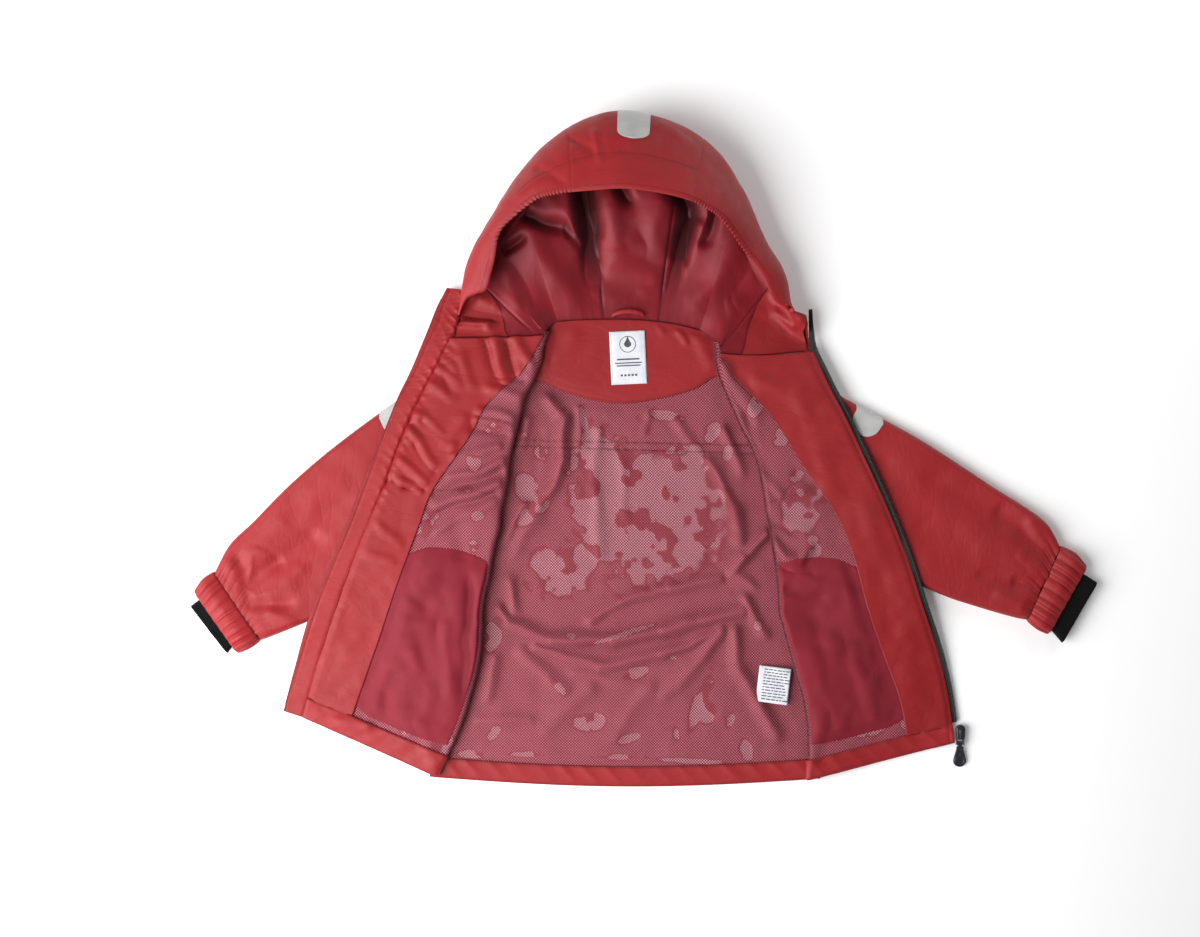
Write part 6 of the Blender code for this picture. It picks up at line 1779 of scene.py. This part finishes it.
def build_care_rules(grid):
    """Rows of short grey dashes on the upper leaf of the care label, in place of its words."""
    chance = np.random.default_rng(131)
    corners = []
    for row in np.linspace(2.5, 24.8, 11):
        at = 28.0
        while at < 49:
            end = at + chance.uniform(1.5, 5.2)
            corners += [(row - 0.34, at), (row - 0.34, end), (row + 0.34, end), (row + 0.34, at)]
            at = end + 1.0
    rows, columns = np.array(corners).T
    points = sample(moved(grid, -1, 0.55), rows, columns)
    flat_patches("care_label_rules", points, np.arange(len(corners)).reshape(-1, 4).tolist())


def build_loop():
    """The hanger loop: a folded strip of shell cloth, stitched into the neck seam at both ends."""
    part = np.linspace(0, 1, 90)[None, :]
    section = np.linspace(0, 2 * math.pi, 16, endpoint=False)[:, None]
    across = 0.5 - 0.5 * np.cos(section)
    arch = np.sin(math.pi * part) ** 0.6
    wander = 0.6 * uneven(part * 40, 0, 9, 127)
    x = LOOP_ENDS[0] + (LOOP_ENDS[1] - LOOP_ENDS[0]) * part + 0 * across
    y = LOOP_Y + 5.0 * arch + across * LOOP_W * (0.94 + 0.06 * arch) + wander
    z = FLOOR_Z + LAYER_2 + 1.4 + 3.2 * arch + 0.75 * np.sin(section) + 0.4 * wander
    ring = np.swapaxes(np.dstack([x, y, z]), 0, 1)
    cloth("neck_loop", ring, 1, "shell", closed=True, seam=near_edges(ring, 1.5, (1, 1, 0, 0)),
          replaces="hanger_loop")


def rounded_slab(name, outline, low, high, bevel, replaces=None, body="jacket", place=None):
    """A metal plate with rounded edges from its outline: a flat bottom and top, and a bevel."""
    count = len(outline)
    points = np.concatenate([np.column_stack([outline, np.full(count, z)]) for z in (low, high)])
    if place is not None:
        points = place(points)
    faces = [list(range(count))[::-1], list(range(count, 2 * count))]
    faces += [[k, (k + 1) % count, count + (k + 1) % count, count + k] for k in range(count)]
    piece = add_mesh(name, points, faces, "metal", body)
    edge = piece.modifiers.new("Rounded edge", "BEVEL")
    edge.width = bevel * MM
    edge.segments = 4
    edge.limit_method = "ANGLE"
    edge.angle_limit = math.radians(40)
    edge.harden_normals = True
    if replaces:
        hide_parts(replaces)


def add_metal(name, points, faces, body="jacket"):
    """A smooth metal mesh whose corners stay sharp."""
    piece = add_mesh(name, points, faces, "metal", body)
    piece.data.set_sharp_from_angle(angle=math.radians(50))


def build_slider():
    """The slider: a domed upper plate with a raised rib and a flat lower plate joined at the
    head, and two lugs with the pin of the pull tab between them."""
    half_w, half_l = SLIDER_SIZE[0] / 2, SLIDER_SIZE[1] / 2
    turn = np.linspace(0, math.pi, 25)
    head = np.column_stack([half_w * np.cos(turn), half_l - half_w + half_w * np.sin(turn)])
    tail = np.array([(-half_w * 0.94, -half_l * 0.45), (-half_w * 0.8, -half_l),
                     (half_w * 0.8, -half_l), (half_w * 0.94, -half_l * 0.45)])
    low, high = SLIDER_Z - SLIDER_H / 2, SLIDER_Z + SLIDER_H / 2
    rounded_slab("slider_body", np.concatenate([head, tail]) + SLIDER_AT, low, high, 1.0, "zip_slider")
    rib = np.array([(-1.3, -half_l + 1.6), (1.3, -half_l + 1.6), (1.9, half_l - 5), (0, half_l - 2.6),
                    (-1.9, half_l - 5)]) + SLIDER_AT
    rounded_slab("slider_rib", rib, high - 0.3, high + 0.75, 0.5)
    reach = KNUCKLE_L / 2 + LUG_HALF + LUG_ROOM
    near, far = SLIDER_AT[1] - half_l + 1.4, PIN_AT[1] - KNUCKLE_R
    for name, side in (("left", -1), ("right", 1)):
        lug = np.array([(-LUG_HALF, far), (LUG_HALF, far), (LUG_HALF, near), (-LUG_HALF, near)])
        rounded_slab(f"slider_lug_{name}", lug + (PIN_AT[0] + side * reach, 0), PIN_AT[2] - KNUCKLE_R,
                     PIN_AT[2] + KNUCKLE_R, 0.6)
    pin = PIN_AT + np.linspace(-1, 1, 8)[:, None] * [reach + LUG_HALF, 0, 0]
    caps = [list(range(20)), list(range(140, 160))[::-1]]
    add_metal("slider_pin", tube_along(pin, PIN_R, 20), tube_faces(8, 20, -1).tolist() + caps)


def drooping(points):
    """Points of the pull tab, turned about the pin by its droop and moved to the pin."""
    angle = math.radians(TAB_DROOP)
    y = points[:, 1] * math.cos(angle) - points[:, 2] * math.sin(angle)
    z = points[:, 1] * math.sin(angle) + points[:, 2] * math.cos(angle)
    return np.column_stack([points[:, 0], y, z]) + PIN_AT


def build_tab():
    """The pull tab: a knuckle round the pin, a narrow stem and a round grip with a raised rim
    and a dished middle. It turns with its hinge."""
    narrow, wide, half, stem = TAB_NECK / 2, TAB_W / 2, TAB_T / 2, KNUCKLE_L / 2 - 0.2
    turn = np.linspace(0, -math.pi, 33)[1:-1]
    reach = TAB_LENGTH - wide
    foot = np.column_stack([wide * np.cos(turn), -reach + wide * np.sin(turn)])
    side = through([(wide, -reach), (wide * 0.86, -reach + 4.6), (narrow, -KNUCKLE_R - 5.6),
                    (narrow * 0.98, -KNUCKLE_R - 2.9), (stem, -KNUCKLE_R - 0.6)], np.linspace(0, 4, 18))
    right = np.concatenate([[(stem, -KNUCKLE_R * 0.4)], side[::-1]])
    outline = np.concatenate([right, foot, right[::-1] * [-1, 1]])
    rounded_slab("tab_plate", outline, -half, half, 0.55, "zip_pull_tab", "pull_tab", drooping)
    ring = np.linspace(0, 2 * math.pi, 49)[:-1]
    rim = ((1.2, -0.1), (1.9, 0.32), (2.8, 0.3), (3.2, -0.12))
    rings = [np.column_stack([(wide - inset) * np.cos(ring), -reach + (wide - inset) * np.sin(ring),
                              np.full(48, half + rise)]) for inset, rise in rim]
    add_metal("tab_rim", drooping(np.concatenate(rings)), tube_faces(4, 48, -1), "pull_tab")
    knuckle = np.linspace(-1, 1, 10)[:, None] * [KNUCKLE_L / 2, 0, 0]
    outer, inner = tube_along(knuckle, KNUCKLE_R - 0.05, 28), tube_along(knuckle, PIN_R + 0.3, 28)
    shells = np.concatenate([inner[:1], outer, inner[-1:], inner[::-1][1:-1]])
    add_metal("tab_knuckle", drooping(shells.reshape(-1, 3)), tube_faces(len(shells), 28, -1), "pull_tab")


# ---------------------------------------------------------------- floor, light and camera


def build_floor():
    """A white paper floor just under the jacket."""
    floor = bpy.data.objects.new("floor", bpy.data.meshes.new("floor"))
    corners = [(x * FLOOR_REACH, y * FLOOR_REACH, -0.0005) for x, y in ((-1, -1), (1, -1), (1, 1), (-1, 1))]
    floor.data.from_pydata(corners, [], [[0, 1, 2, 3]])
    floor.data.materials.append(floor_finish())
    bpy.context.scene.collection.objects.link(floor)


def build_lights():
    """One wide soft light from the left, a weak one from the right and an even fill."""
    for name, place, size, power, aimed_at in LIGHTS:
        lamp = bpy.data.lights.new(name, "AREA")
        lamp.shape = "RECTANGLE"
        lamp.size = lamp.size_y = size
        lamp.energy = power
        holder = bpy.data.objects.new(name, lamp)
        holder.location = place
        aim = Vector(aimed_at) - Vector(place)
        holder.rotation_euler = aim.to_track_quat("-Z", "Y").to_euler()
        bpy.context.scene.collection.objects.link(holder)
    world = bpy.data.worlds.new("Studio fill")
    world.use_nodes = True
    background = world.node_tree.nodes["Background"]
    background.inputs["Color"].default_value = (1.0, 1.0, 1.0, 1.0)
    background.inputs["Strength"].default_value = FILL
    bpy.context.scene.world = world


def build_camera():
    """The camera straight above."""
    lens = bpy.data.cameras.new("camera")
    lens.lens, lens.sensor_width = CAMERA_LENS, 36.0
    lens.clip_start, lens.clip_end = 0.05, 20.0
    camera = bpy.data.objects.new("camera", lens)
    camera.location = CAMERA_AT
    bpy.context.scene.collection.objects.link(camera)
    bpy.context.scene.camera = camera
    bpy.context.scene.view_settings.view_transform = "Standard"


LIGHTS = (
    ("key", (-1.15, -0.45, 1.1), 1.6, 63.0, (0.0, 0.0, 0.0)),
    ("right", (0.95, 1.1, 0.55), 1.0, 8.0, (0.15, 0.3, 0.0)),
)
FILL = 0.17
FLOOR_REACH = 4
CAMERA_LENS, CAMERA_AT = 50.87, (-0.02875, 0.0023, 1.95)


def main():
    for name in FRONTS:
        build_front(name)
    build_back()
    build_back_hem_band()
    build_back_net()
    build_back_neck_facing()
    build_flap()
    build_left_zip()
    build_right_zip()
    for name in SLEEVES:
        grid, ring, rows = build_sleeve(name)
        build_cuff(name)
        build_rib(name)
        build_sleeve_reflector(name, grid, ring, rows)
    build_hood()
    build_hood_lining()
    build_hood_casing()
    build_hood_reflector()
    build_neck_label()
    build_care_label()
    build_loop()
    build_slider()
    build_tab()
    stitches("red_stitches", SEWN["thread"], "thread")
    stitches("lining_stitches", SEWN["net_thread"], "net_thread", 2.4, 0.8, 0.6)
    stitches("label_stitches", SEWN["label_thread"], "label_thread", 1.8, 0.7, 0.35)
    build_floor()
    build_lights()
    build_camera()


main()
